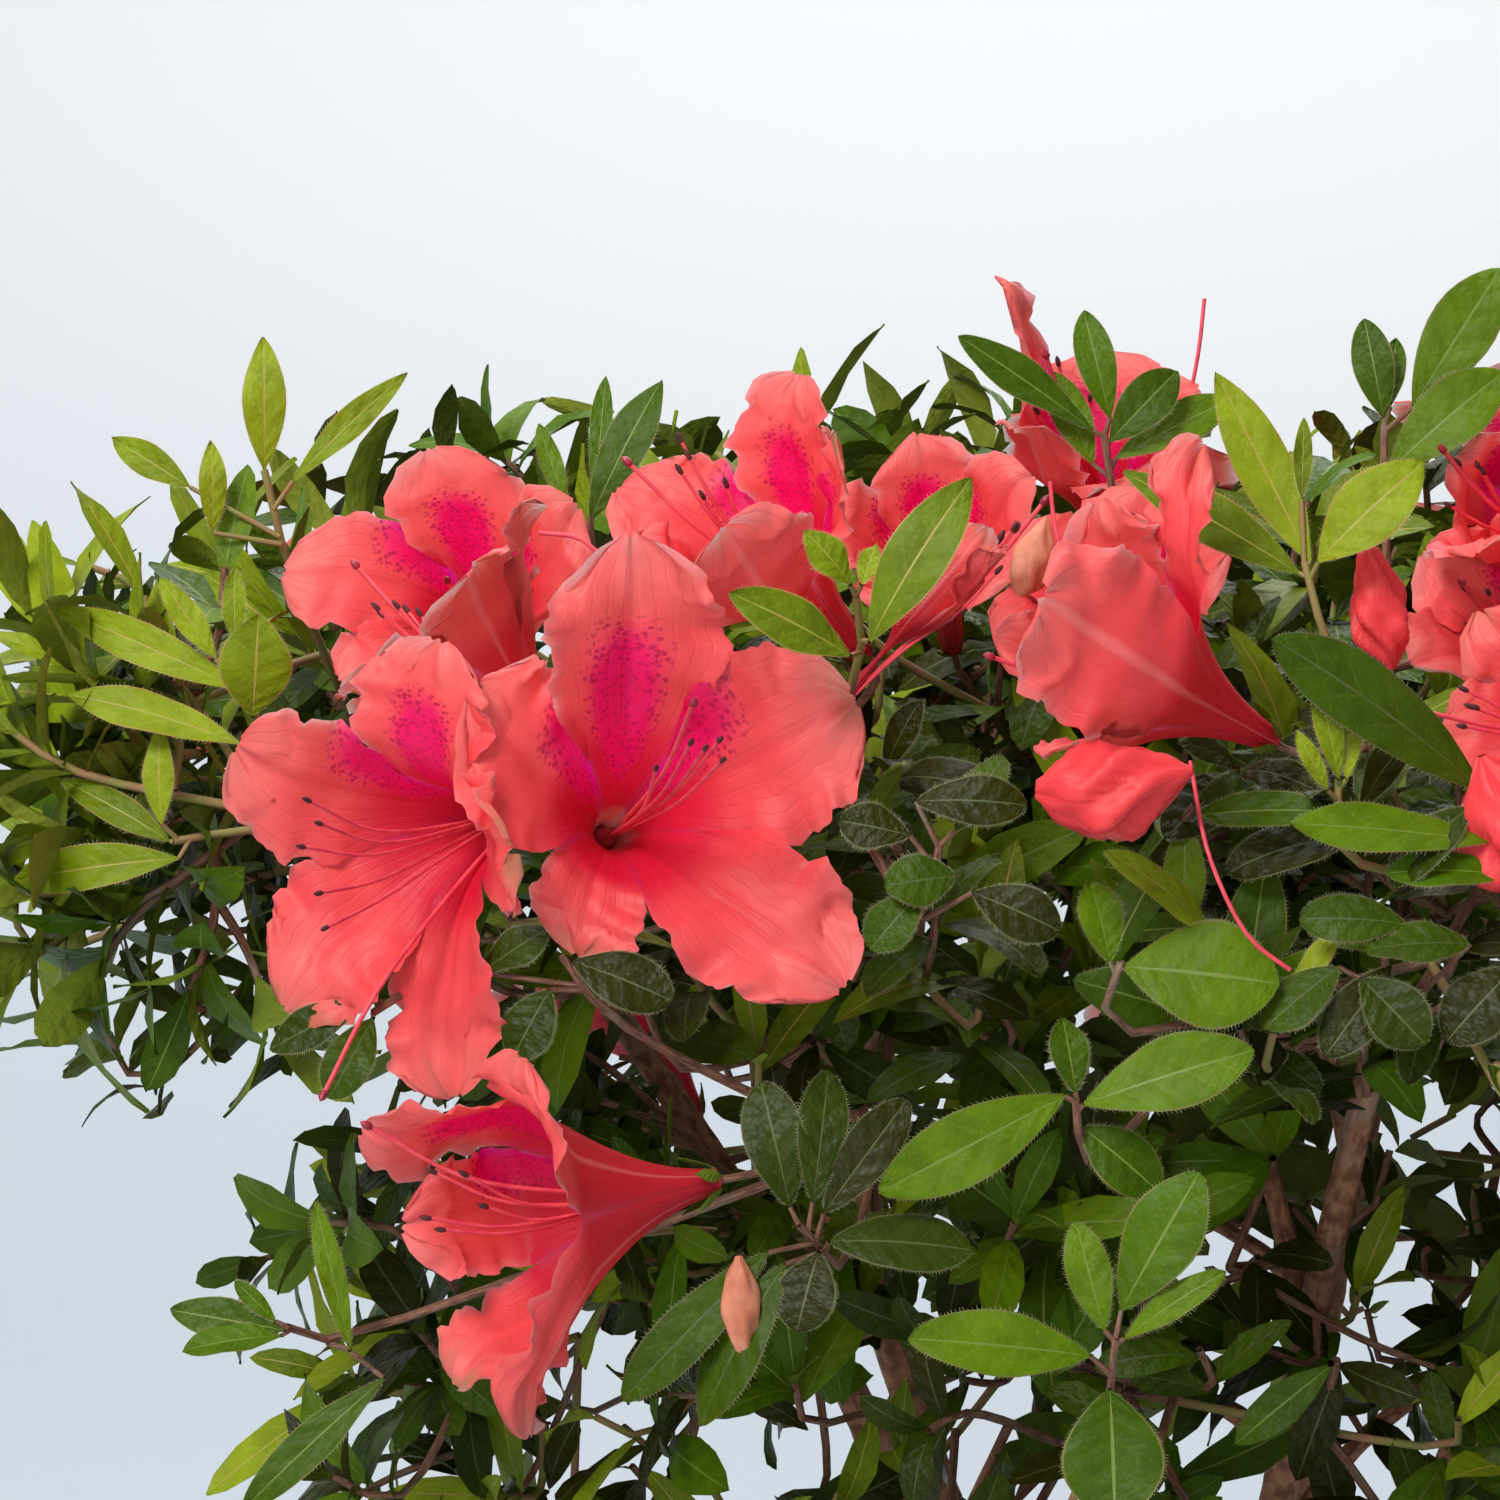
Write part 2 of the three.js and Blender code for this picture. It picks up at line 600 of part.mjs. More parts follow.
// Main boughs leave the trunk one above the other, and each runs to a mass of the upper ring.
function makeMainBoughs(trunk, masses) {
  const limbs = [];
  for (let i = 0; i < MAIN_BOUGH.count; i++) {
    const azimuth = (MAIN_BOUGH.turn + (i * 360) / MAIN_BOUGH.count) % 360;
    const gapTo = (mass) => Math.abs(((mass.azimuth - azimuth + 540) % 360) - 180);
    const free = masses.filter((mass) => mass.tier.name === 'upper' && !mass.bough);
    const mass = free.reduce((best, other) => (gapTo(other) < gapTo(best) ? other : best));
    const start = trunk.curve.getPointAt(0.6 + (0.3 * ((i * 2) % MAIN_BOUGH.count)) / MAIN_BOUGH.count);
    const out = direction(mass.azimuth, 0);
    const low = start.clone().addScaledVector(out, 30);
    low.z += 34;
    const high = start.clone().lerp(mass.entry, 0.55).addScaledVector(out, 6);
    high.z += 16;
    const radiusAt = taper(MAIN_BOUGH.baseRadius, MAIN_BOUGH.tipRadius);
    const limb = makeLimb(`main_bough_${i + 1}`, [start, low, high, mass.entry], radiusAt, MAIN_BOUGH);
    cutClear(limb, [trunk, ...limbs]);
    mass.bough = limb;
    limbs.push(limb);
  }
  return limbs;
}

// The place on the main boughs from which a side bough reaches its mass in the straightest way.
function bestFork(mainBoughs, entry) {
  let best = null;
  for (const parent of mainBoughs) {
    for (let t = 0.16; t < 0.9; t += 0.03) {
      const place = parent.curve.getPointAt(t);
      const way = entry.clone().sub(place);
      const span = way.length();
      const bend = way.normalize().dot(parent.curve.getTangentAt(t));
      const crowded = parent.forks.some((other) => other.distanceTo(place) < SIDE_BOUGH.forkGap);
      const cost = span * (1 + 0.8 * Math.max(0, 0.75 - bend)) + (crowded ? 400 : 0) + (span < 30 ? 60 : 0);
      if (!best || cost < best.cost) best = { cost, parent, t, place };
    }
  }
  best.parent.forks.push(best.place);
  return best;
}

function makeSideBoughs(trunk, mainBoughs, masses) {
  const limbs = [];
  for (const mass of masses.filter((other) => !other.bough)) {
    const fork = bestFork(mainBoughs, mass.entry);
    const span = fork.place.distanceTo(mass.entry);
    const lead = fork.parent.curve.getTangentAt(fork.t).multiplyScalar(span * 0.14);
    const low = fork.place.clone().lerp(mass.entry, 0.36).add(lead);
    const high = fork.place.clone().lerp(mass.entry, 0.72).addScaledVector(lead, 0.6);
    const radiusAt = taper(SIDE_BOUGH.baseRadius, SIDE_BOUGH.tipRadius);
    const route = [fork.place, low, high, mass.entry];
    const limb = makeLimb(`side_bough_${limbs.length + 1}`, route, radiusAt, SIDE_BOUGH);
    cutClear(limb, [trunk, ...mainBoughs, ...limbs]);
    mass.bough = limb;
    limbs.push(limb);
  }
  return limbs;
}

// Materials, and the whole plant

function material(color, roughness) {
  return new THREE.MeshStandardMaterial({ color, roughness, metalness: 0 });
}

const MATERIALS = {
  pot: material(0x3a3c3e, 0.55),
  soil: material(0x3b2a1f, 0.95),
  bark: material(0x7a4a36, 0.8),
  foliage: material(0x4f7a22, 0.5),
};

const group = new THREE.Group();

function addMesh(name, solid, finish) {
  const geometry = geometryFrom(solid);
  geometry.computeVertexNormals();
  const mesh = new THREE.Mesh(geometry, finish);
  mesh.name = name;
  group.add(mesh);
}

const masses = makeMasses();
const trunk = makeTrunk();
const mainBoughs = makeMainBoughs(trunk, masses);
const sideBoughs = makeSideBoughs(trunk, mainBoughs, masses);
const limbs = [trunk, ...mainBoughs, ...sideBoughs];
const plant = { masses, blooms: [], samples: limbSamples(limbs) };

addMesh('pot', potSolid(), MATERIALS.pot);
addMesh('potting_mix', soilSolid(), MATERIALS.soil);
for (const limb of limbs) {
  addMesh(limb.name, limb.solid, MATERIALS.bark);
}
placeBlooms(plant);
placeShoots(plant);
for (const mass of masses) {
  growStem(mass, plant);
}
for (const mass of masses) {
  addMesh(mass.name, growMass(mass, plant), MATERIALS.foliage);
}

export default group;
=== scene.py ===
# The looks of a coral azalea in a plain round pot: bark on the limbs, and twigs, leaves and blooms that
# grow on from them by the solids' own rule.
# Sizes and places are in millimetres and are turned into metres where a mesh is made. The front faces -Y.

import math

import bpy
import numpy as np
from mathutils import Matrix


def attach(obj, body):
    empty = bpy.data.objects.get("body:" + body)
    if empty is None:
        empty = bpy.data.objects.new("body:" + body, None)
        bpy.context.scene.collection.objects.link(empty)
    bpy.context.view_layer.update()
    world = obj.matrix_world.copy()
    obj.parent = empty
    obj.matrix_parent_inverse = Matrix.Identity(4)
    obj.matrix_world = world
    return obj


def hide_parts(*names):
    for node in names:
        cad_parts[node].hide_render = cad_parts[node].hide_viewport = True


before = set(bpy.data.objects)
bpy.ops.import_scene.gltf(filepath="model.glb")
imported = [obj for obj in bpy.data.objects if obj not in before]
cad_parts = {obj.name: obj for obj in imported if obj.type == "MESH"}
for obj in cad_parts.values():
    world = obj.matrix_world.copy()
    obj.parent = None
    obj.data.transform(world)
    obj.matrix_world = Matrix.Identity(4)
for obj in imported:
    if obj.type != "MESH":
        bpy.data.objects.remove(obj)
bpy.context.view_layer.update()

MM = 0.001
GOLDEN_ANGLE = math.pi * (3 - math.sqrt(5))

# The camera looks along +Y, tilted down, at the front left of the crown
FOCUS = np.array([-91.0, -215.0, 565.0])
VIEW_DISTANCE = 1000.0
VIEW_TILT = math.radians(8.0)
VIEW_AHEAD = np.array([0, math.cos(VIEW_TILT), -math.sin(VIEW_TILT)])
VIEW_UP = np.array([0, math.sin(VIEW_TILT), math.cos(VIEW_TILT)])
EYE = FOCUS - VIEW_DISTANCE * VIEW_AHEAD
SENSOR = 36.0
IMAGE_WIDTH_AT_FOCUS = 262.5

# Sizes shared with the solids
CLEARANCE = 0.3
POT = {"height": 245, "top": 142, "foot": 112, "wall": 3, "rim_depth": 28, "rim_step": 4}
SOIL_TOP = 223
# Below this the inside of the pot and the mix are out of sight and left open
MIX_BOTTOM = 180
TRUNK = {"height": 58, "base": 10.5, "top": 7.5, "flare": 6, "flare_height": 9, "lean": 4}
MAIN_BOUGH = {"count": 5, "turn": 283, "base": 5.2, "tip": 2.6}
SIDE_BOUGH = {"base": 2.4, "tip": 1.5, "fork_gap": 17}
STEM_REACH = 0.8
NECK = 13
DETOUR_COST = 0.45
HEART = np.array([0.0, 0.0, 400.0])
TIERS = [
    {"name": "upper", "count": 8, "turn": 13, "reach": 178, "height": 537, "girth": 92, "rise": 69,
     "inset": 0.62, "blooms": 3, "all_blooms": 5, "shoots": 54},
    {"name": "top", "count": 4, "turn": 80, "reach": 78, "height": 550, "girth": 84, "rise": 58,
     "inset": 0.62, "blooms": 2, "all_blooms": 3, "shoots": 52},
    {"name": "lower", "count": 6, "turn": 22, "reach": 142, "height": 428, "girth": 88, "rise": 76,
     "inset": 0.72, "blooms": 1, "all_blooms": 2, "shoots": 46},
]
HEIGHT_JITTER = 8
# How a side bough's fork is chosen: the shares of a main bough that are tried, and what adds to the cost
FORK = {"from": 0.16, "to": 0.9, "step": 0.03, "straight": 0.75, "bend_cost": 0.8, "crowded_cost": 400,
        "short": 30, "short_cost": 60}
# Distances kept to the edge of a mass's space, to limbs and to blooms
GAPS = {
    "bloom": {"space": 2, "limb": 6},
    "twig": {"space": 1.5, "limb": 1.4, "bloom": 0.5},
    "leaf": {"space": 0.6, "limb": 1.0, "bloom": 1.0},
}
BLOOM = {"depth": 42, "radius": 38, "throat": 6.5, "sunk": 8, "clear_ahead": 14, "near": 110}
BLOOM_PLACES = {"nearest": 0.6, "furthest": 0.88, "gap": 66, "upward": 0.35, "wander": 0.35, "tries": 260}
SHOOT_PLACES = {"nearest": 0.3, "furthest": 0.92, "gap": 15, "upward": 0.3, "wander": 0.6, "tries": 1500,
                "fewest_leaves": 3}

# Mouth, azimuth, elevation and mouth radius of the blooms that the solids place one by one
PLACED_BLOOMS = [
    (-156, -206, 544, 228, -10, 37),
    (-109, -215, 556, 283, 18, 37),
    (-136, -227, 483, 201, -6, 34),
    (-94, -182, 602, 222, 40, 33),
    (-31, -207, 583, 205, 28, 30),
    (-53, -184, 595, 350, 50, 17),
    (-144, -130, 585, 265, 25, 27),
    (-27, -112, 618, 245, 60, 32),
    (48, -140, 606, 225, 35, 28),
    (-55, -98, 592, 262, 40, 25),
    (46, -203, 572, 200, 15, 24),
]
# Between these azimuths only blooms with a place of their own grow, and just before them seeded ones stay low
SHOWN_SIDE = {"from": 185, "to": 290, "low_from": 95, "low_top": 580}
# The nearest placed blooms, by number, which have finer meshes
NEAREST_BLOOMS = (0, 1, 2, 3, 4)

# Blooms behind those, which only the scene has
EXTRA_BLOOMS = [
    (-148, -152, 582, 160, 45, 30),
    (-25, -155, 590, 250, 40, 25),
    (50, -150, 585, 240, 30, 25),
]

# What follows is placed as the camera sees it: right and up of the focus and back from it, in millimetres.
# The lobes of the front blooms, the top one first and then to its left: tip, slope, half width, ruffle,
# fold, twist and wear.
SHOWN_LOBES = {
    0: [
        ((-54, 19.5, 8), 108, 15, 1.5, 0.02, 0.0, 0.0),
        ((-90, 1, 22), 86, 15, 1.4, 0.02, 0.1, 0.0),
        ((-81.5, -45.5, 27), 84, 14.5, 1.6, 0.0, 0.0, 0.8),
        ((-51.5, -61, 14), 92, 14.5, 1.9, 0.04, -0.2, 0.4),
        ((-42, -17, -7), 70, 13, 2.0, -0.1, 0.0, 0.9),
    ],
    1: [
        ((-21, 38, 2), 75, 16.5, 1.6, 0.1, 0.0, 0.0),
        ((-49, 10.5, 4), 92, 16.5, 1.5, -0.02, 0.0, 0.0),
        ((-30, -36.5, 8), 118, 10.5, 1.7, 0.1, 0.3, 0.5),
        ((16.5, -42, 0), 88, 14.5, 2.1, 0.14, 0.0, 0.0),
        ((18.7, 9, 9), 86, 17, 1.6, 0.02, 0.0, 0.4),
    ],
    2: [
        ((-68, -66, 4), 52, 13.5, 1.4, 0.0, 0.0, 0.0),
        ((-61, -83, 9), 44, 11, 1.4, 0.0, 0.0, 0.0),
        ((-51.5, -111.5, 4), 78, 15, 1.6, 0.0, 0.0, 0.9),
        ((-38.5, -120.5, -6), 98, 9, 1.8, 0.2, 0.8, 0.5),
        ((-39.5, -53.5, -12), 125, 13, 1.6, 0.1, 0.3, 0.2),
    ],
    3: [
        ((9, 66, 34), 84, 12, 1.6, 0.1, 0.0, 0.0),
        ((-23, 46, 52), 90, 12, 1.3, 0.0, 0.0, 0.0),
        ((-22, 35, 32), 72, 11, 1.3, 0.0, 0.0, 0.0),
        ((-5, 39, 6), 14, 14, 1.7, -0.1, 0.0, 0.2),
        ((14.5, 56, 11), 16, 8.5, 1.5, 0.1, 0.3, 1.0),
    ],
    4: [
        ((79.5, 54, 9), 115, 7, 1.9, 0.16, 0.9, 0.2),
        ((61, 44, 12), 72, 13, 1.3, 0.0, 0.0, 0.0),
        ((42.5, 20, 12), 40, 9, 1.5, 0.1, 0.2, 0.0),
        ((51.5, -1, 0), 76, 12, 1.6, 0.0, 0.0, 0.0),
        ((51, 27, -21), 28, 16, 2.6, 0.08, 0.0, 0.0),
    ],
    6: [
        ((-56, 53, 90), 78, 13, 1.3, 0.0, 0.0, 0.0),
        ((-82, 31, 92), 92, 12, 1.3, 0.0, 0.0, 0.0),
        ((-72, 12, 82), 92, 11, 1.3, 0.0, 0.0, 0.0),
        ((-44, 14, 78), 90, 11, 1.3, 0.0, 0.0, 0.0),
        ((-30, 43, 88), 92, 11, 1.5, 0.0, 0.0, 0.0),
    ],
    7: [
        ((61, 70, 116), 88, 12, 1.3, 0.0, 0.0, 0.0),
        ((43, 82.5, 92), 105, 7, 1.5, 0.1, 0.6, 0.3),
        ((46, 56, 84), 92, 11, 1.3, 0.0, 0.0, 0.0),
        ((70, 48, 78), 90, 12, 1.3, 0.0, 0.0, 0.0),
        ((79, 63, 96), 90, 11, 1.4, 0.0, 0.0, 0.0),
    ],
    8: [
        ((133, 68, 80), 84, 11, 1.3, 0.0, 0.0, 0.0),
        ((123, 51, 72), 90, 11, 1.4, 0.0, 0.0, 0.0),
        ((127, 34, 52), 90, 11, 1.3, 0.0, 0.0, 0.0),
        ((150, 30, 48), 90, 11, 1.3, 0.0, 0.0, 0.0),
        ((160, 58, 60), 90, 11, 1.3, 0.0, 0.0, 0.0),
    ],
}
# Radius and height where the lobes of the side-on ones part
SHOWN_SPLITS = {2: (17, -13), 4: (14, -14)}
# This one shows no flare, because it is turned away
HIDDEN_FLARES = (4,)
# The photograph looks under the crown and sees no bloom there. Seeded ones that would show are left out:
# those lower than this, further back and less far aside.
FAR_BLOOMS_HIDDEN = {"below": -58, "behind": 40, "aside": 150}
# Where the anthers of the nearest blooms stand, by the bloom's number, and last the stigma
SHOWN_STAMENS = {
    0: [
        (-77, -9, -6), (-75, -13, -9), (-78, -17, -4), (-75, -25, -7), (-74, -31, -10),
        (-74.5, -60, -16)],
    1: [
        (-16.5, -3.5, -22), (-10.5, 1, -24), (-8, 0, -24), (-5.5, 1.5, -26), (-5, -2, -26),
        (-10, 8, -30)],
    2: [
        (-55, -74, -4), (-49.5, -74.5, -8), (-56, -82, -5), (-53.5, -84, -8), (-46, -80, -6),
        (-66.5, -66, -8)],
    3: [
        (-12, 54, 30), (-10.5, 51, 28), (-12, 48.5, 27), (-4, 46, 26), (-8, 44, 24), (-21, 50, 32)],
}
# Buds and spent blooms: foot, tip, radius, the petal material's number and how far the folds wind
BUDS = [
    ((50, -7, -12), (77.5, -3.5, -16), 7.5, 1, 0.5),
    ((47, 27, 14), (52, 41, 12), 3.6, 2, 0.3),
    ((-2, -88.5, -4), (-1, -107, -4), 3.3, 2, 0.1),
    ((112, 14, 26), (108, 38, 26), 4.6, 1, 0.8),
    ((139, -24, 8), (128, -1, 4), 9.5, 1, 0.4),
]
# Long styles that stay on spent blooms
STYLES = [
    [(77, -2, -2), (80.5, -19, -12), (87.5, -33, -13), (94.5, -38.5, -12)],
    [(57, 28, 10), (53.5, 38.5, 12), (52.5, 47, 12)],
    [(77, 62, 98), (78.5, 70, 98), (79.5, 79, 98)],
    [(-26, 34, 34), (-30, 37, 34), (-37, 38, 34)],
]
# Shoots in front: kind, bud, a place on the stem under it, then for each leaf its root and tip, how far back
# it is, how far its tip leans back, and its width
SPRIGS = [
    ("young", (18.5, 27, 3), (20.5, 8, 22), [
        (21, 19, 37, 48, -1, -4, 12), (17.5, 16.5, -2, 28, -3, -8, 10.5),
        (17.5, 29, 10.5, 38.5, -1, -3, 7), (19.5, 29, 22, 36, 0, 2, 4)]),
    ("young", (-88, 9, 42), (-82, -4, 48), [
        (-89, 10.5, -122.5, 26, 42, 4, 8), (-89, 1, -119, 11.5, 42, 4, 9),
        (-93.5, 16, -103, 30, 40, 2, 5.5), (-90, 19, -90.5, 31.5, 40, 0, 4.5),
        (-87, 6, -86, 23, 38, -6, 13.5)]),
    ("young", (-101, -16, 46), (-88, -14, 52), [
        (-101.5, -16, -121, -4, 46, 4, 6.5), (-103, -13, -104, 4, 44, 0, 6),
        (-100, -19, -131, -22, 46, 4, 9)]),
    ("young", (-85, 49, 92), (-82, 36, 92), [
        (-85, 49, -85, 72, 92, 0, 8.5), (-80, 47, -61, 66.5, 92, 0, 6), (-98, 46, -112, 55, 92, 4, 6.5),
        (-94, 38, -94, 54, 90, 0, 5.5)]),
    ("middle", (-28, 41, 96), (-27, 28, 96), [
        (-28, 40, -16.5, 65, 96, 0, 9.5), (-27, 43, -25.5, 65.5, 100, 4, 4.5),
        (-32, 42, -37, 57, 100, 4, 4.5)]),
    ("middle", (62, 55, 78), (64, 41, 78), [
        (60, 56, 37.5, 72.5, 78, 0, 9), (63, 58, 58.5, 77, 78, 0, 7.5),
        (63, 54, 74.5, 66.5, 78, 0, 9.5), (60, 50, 53, 66, 80, 4, 7.5), (64, 51, 84, 62, 80, 4, 9)]),
    ("young", (97, 33, 20), (101, 18, 18), [
        (98, 33, 82, 65.5, 20, 4, 10.5), (99.5, 33, 117, 51, 18, -4, 13),
        (96, 31, 66.5, 49, 20, 4, 10.5), (96.5, 44, 97, 58, 20, 0, 3.5)]),
    ("middle", (111, 57, 75), (111, 42, 72), [
        (111, 58, 107.5, 75.5, 75, 0, 8), (112, 60, 113, 72, 76, 2, 5), (116, 60, 131, 84, 75, 0, 13),
        (112, 49, 131, 66.5, 72, -4, 13)]),
    ("mature", (127, -8, 6), (134, -22, 10), [
        (128, -7, 94.5, 20.5, 6, -10, 15.5), (126, -10, 112, -22, 4, -6, 10)]),
    ("young", (103, -5, 4), (104, -18, 6), [
        (103, -5, 99.5, 13, 2, -4, 5), (104.5, -5, 105, 10, 2, 0, 5), (101, -7, 96, 3, 2, -3, 3.5)]),
    ("middle", (131, -16, 2), (138, -25, 8), [
        (129.5, -16, 96, -12, 2, -6, 10), (133, -22, 112, -20, 2, -4, 8.5)]),
    ("mature", (33, -17, 2), (30, -32, 6), [
        (29, -9, 48, -8.5, 0, -4, 9.5), (36, -22, 24, -23.5, 0, -3, 10), (39, -25, 54, -31, 0, -4, 10),
        (30, -25, 21, -34, 0, -4, 9), (36, -14, 44, -1, 2, 2, 8), (28, -15, 16, -12, 2, 0, 8.5)]),
    ("mature", (111, -35, 0), (113, -49, 6), [
        (115, -30.5, 97, -28.5, 0, -3, 9), (126, -34, 108.5, -33.5, -2, -3, 9.5),
        (134, -38, 122, -50, 0, -4, 12), (103, -38, 90, -48, 0, -3, 11),
        (107, -40, 118, -51, -2, -5, 11), (112, -38, 101, -53, 0, -4, 10)]),
    ("middle", (65, -37, 0), (62, -51, 6), [
        (65.5, -38, 92, -40, 0, -5, 20), (63, -37, 60, -23, 2, 0, 8)]),
    ("middle", (57, -61, -2), (60, -76, 6), [
        (55, -60.5, 23.5, -77, -2, -6, 13), (58.5, -62, 87, -52, -2, -6, 13.5),
        (57, -60, 55, -47, 0, 2, 7), (58, -66, 72, -77, 2, -2, 11)]),
    ("middle", (64, -103, -6), (62, -121, 0), [
        (59.5, -106, 29, -102.5, -6, -6, 12.5), (62, -101.5, 57, -83, -6, 0, 8),
        (65, -98, 78, -74.5, -6, -2, 14), (65.5, -103, 82, -91, -6, -5, 6),
        (63, -112, 64, -134, -8, -8, 18)]),
    ("mature", (8.5, -83, 0), (16, -91, 8), [
        (7, -80, 2, -58, 0, 2, 11), (11, -79, 14, -56, 0, 2, 9), (13, -81, 27, -61.5, 0, 0, 9.5),
        (14, -86, 38.5, -86, -2, -3, 13), (3, -88, -22.5, -113, -2, -4, 10),
        (6, -90, -10, -117, -2, -5, 11), (12, -88, 8, -101, -2, -5, 11)]),
    ("middle", (-81, -101, 26), (-66, -107, 56), [
        (-81.5, -101.5, -101, -98, 26, 2, 8), (-82, -102.5, -99, -104, 26, -3, 7.5),
        (-70, -105, -76, -79.5, 28, 2, 5), (-64, -110, -89, -132, 28, -4, 8),
        (-83, -100, -90, -93, 26, 0, 3.5)]),
    ("mature", (-33, -36, 4), (-26, -45, 8), [
        (-47, -39, -36, -31, 6, 2, 9), (-31, -37, -14, -43, 0, -4, 11), (-35, -42, -42, -54, 4, -2, 10)]),
    ("mature", (-66, -46, 20), (-58, -40, 26), [
        (-66, -47, -73.5, -60.5, 18, -4, 9), (-68, -44, -84, -52, 22, 2, 8)]),
]
# Shoots at the left edge: kind, bud, and the way that it points, right and up
EDGE_SHOOTS = [
    ("young", (-130, 4, 50), (-0.8, 0.55)), ("young", (-120, 16, 70), (-0.6, 0.75)),
    ("young", (-106, 27, 80), (-0.25, 0.95)), ("middle", (-92, 32, 90), (0.1, 1.0)),
    ("young", (-112, 8, 54), (-0.9, 0.35)), ("middle", (-126, -4, 70), (-1.0, 0.2)),
    ("young", (-108, -2, 64), (-0.9, -0.1)), ("young", (-122, -14, 58), (-1.0, 0.05)),
    ("middle", (-104, -14, 66), (-0.8, -0.3)), ("young", (-128, -25, 66), (-1.0, -0.1)),
    ("middle", (-110, -28, 62), (-0.8, -0.45)), ("young", (-129, -38, 72), (-0.75, -0.5)),
    ("middle", (-115, -40, 66), (-0.5, -0.75)), ("middle", (-98, -42, 60), (-0.3, -0.9)),
    ("middle", (-84, -46, 66), (0.35, -0.9)), ("young", (-124, 22, 92), (-0.6, 0.8)),
    ("young", (-100, 12, 62), (-0.55, 0.8)), ("young", (-97, -5, 72), (-0.9, 0.2)),
    ("middle", (-118, 2, 88), (-0.9, 0.3)), ("middle", (-108, 14, 92), (-0.6, 0.6)),
]
# Shoots that close the sky behind the stems at the lower right, told in the same way
FAR_SHOOTS = [
    ("mature", (112, -70, 130), (0.3, 0.9)), ("mature", (124, -82, 140), (0.5, 0.6)),
    ("mature", (108, -98, 150), (-0.3, 0.8)), ("mature", (120, -108, 120), (0.6, -0.2)),
    ("mature", (95, -80, 150), (-0.5, 0.7)), ("mature", (88, -104, 130), (-0.6, 0.2)),
    ("middle", (48, -50, 120), (0.2, 0.9)), ("mature", (40, -70, 110), (-0.4, -0.6)),
]
# Where the photograph shows stems and depth: right, up, radius, and how far back no seeded leaf may stand
OPEN_VIEWS = [
    (78, -88, 30, 40), (100, -112, 26, 60), (118, -84, 24, 60), (38, -112, 18, 40), (24, -52, 12, 30),
]
# Where it shows the sky through the crown: right, up and radius
OPEN_SKY = [
    (-24, -50, 3.5), (-11, -60, 4), (-2, -56, 3), (-5, -69, 3.5), (-29, -104, 4), (-24, -118, 4.5),
    (-6, -118, 3.5), (21, -109, 4.5), (42, -112, 4), (12, -121, 4.5), (38, -121, 3.5), (85, -86, 4),
    (77, -88, 3.5), (110, -102, 3.5), (128, -66, 4), (118, -63, 3.5), (96, -72, 3), (50, -130, 3),
    (88, -125, 3.5), (102, -95, 3),
]
THROUGH_THE_CROWN = 900

# How a bloom opens: the radius and slope of its foot, and its radius, height and slope where the lobes part
FUNNEL = {"foot": 2.2, "foot_slope": 6, "radius": 11.5, "height": -15, "slope": 40, "fullness": 0.36}
LOBES = 5
# Blooms with a mouth narrower than this are still opening
NARROW_MOUTH = 20
PETAL_HALF_THICKNESS = 0.12
# Rows and columns of a lobe's mesh
LOBE_MESH = {"nearest": (52, 25), "front": (26, 13), "seeded": (12, 7)}

# The ovary in the funnel's foot, how far past a thread's end the rings of its head are, and radii
OVARY = {"heights": (-42.6, -41.4, -38.5, -35.5), "radii": (1.2, 2.3, 2.0, 0.4)}
HEAD_GAPS = (-0.4, 0.2, 1.3, 2.0)
ANTHER = {"thread": 0.34, "head": (0.25, 0.5, 0.48, 0.15)}
STIGMA = {"thread": 0.45, "head": (0.4, 0.8, 0.65, 0.1)}
SPENT_STYLE_RADIUS = 0.42

# Leaves by age: the least and the span of what varies, where a width is a share of the length
LEAF_KINDS = {
    "mature": {"length": (19, 9), "width": (0.36, 0.07), "belly": 0.58, "point": 0.6,
               "bend": (0.25, 0.5), "fold": (0.1, 0.16), "wave": 0.35},
    "middle": {"length": (23, 12), "width": (0.32, 0.06), "belly": 0.56, "point": 0.68,
               "bend": (0.15, 0.6), "fold": (0.12, 0.2), "wave": 0.45},
    "young": {"length": (25, 16), "width": (0.25, 0.06), "belly": 0.52, "point": 0.8,
              "bend": (0.1, 0.7), "fold": (0.14, 0.22), "wave": 0.5},
}
LEAF_THICKNESS = {"middle": 0.28, "edge": 0.02}
# How far out a seeded leaf may reach, where 1 is the edge of its mass
LEAF_REACH = 1.13
# How far apart along the twig the leaves of a whorl stand, and how many degrees the first and last lean out
WHORLS = {
    "fresh": {"spacing": 2.2, "inner": 14, "outer": 58},
    "under_fresh": {"spacing": 1.4, "inner": 62, "outer": 88},
    "rosette": {"spacing": 1.2, "inner": 26, "outer": 84},
    "under_rosette": {"spacing": 3, "inner": 60, "outer": 85},
    "edge": {"spacing": 2.4, "inner": 18, "outer": 74},
}
# The share of shoots that are fresh on a mass's outside and within it, and where that outside starts
FRESH = {"outside": 0.62, "within": 0.12, "outside_from": 0.62, "least_rise": 0.15}
TWIG = {"base": 1.0, "tip": 0.75, "stem_tip": 1.15, "stalk_base": 0.55, "stalk_tip": 0.45}
# How limbs swell at the collar where they leave their parent and at knots, and how rough their bark is
BARK = {"collar": 0.45, "collar_length": 7, "knot": 0.07, "knot_length": 2.2, "knot_gap": (14, 30),
        "knots": 20, "waves": 5, "relief": 0.02, "trunk_relief": 1.6}
# Sides around and spacing along a limb's mesh
LIMB_MESH = {"trunk": (32, 1.2), "main": (16, 2.2), "side": (10, 2.4)}
CLOSE_VIEW = {"margin": 6, "back": 45}

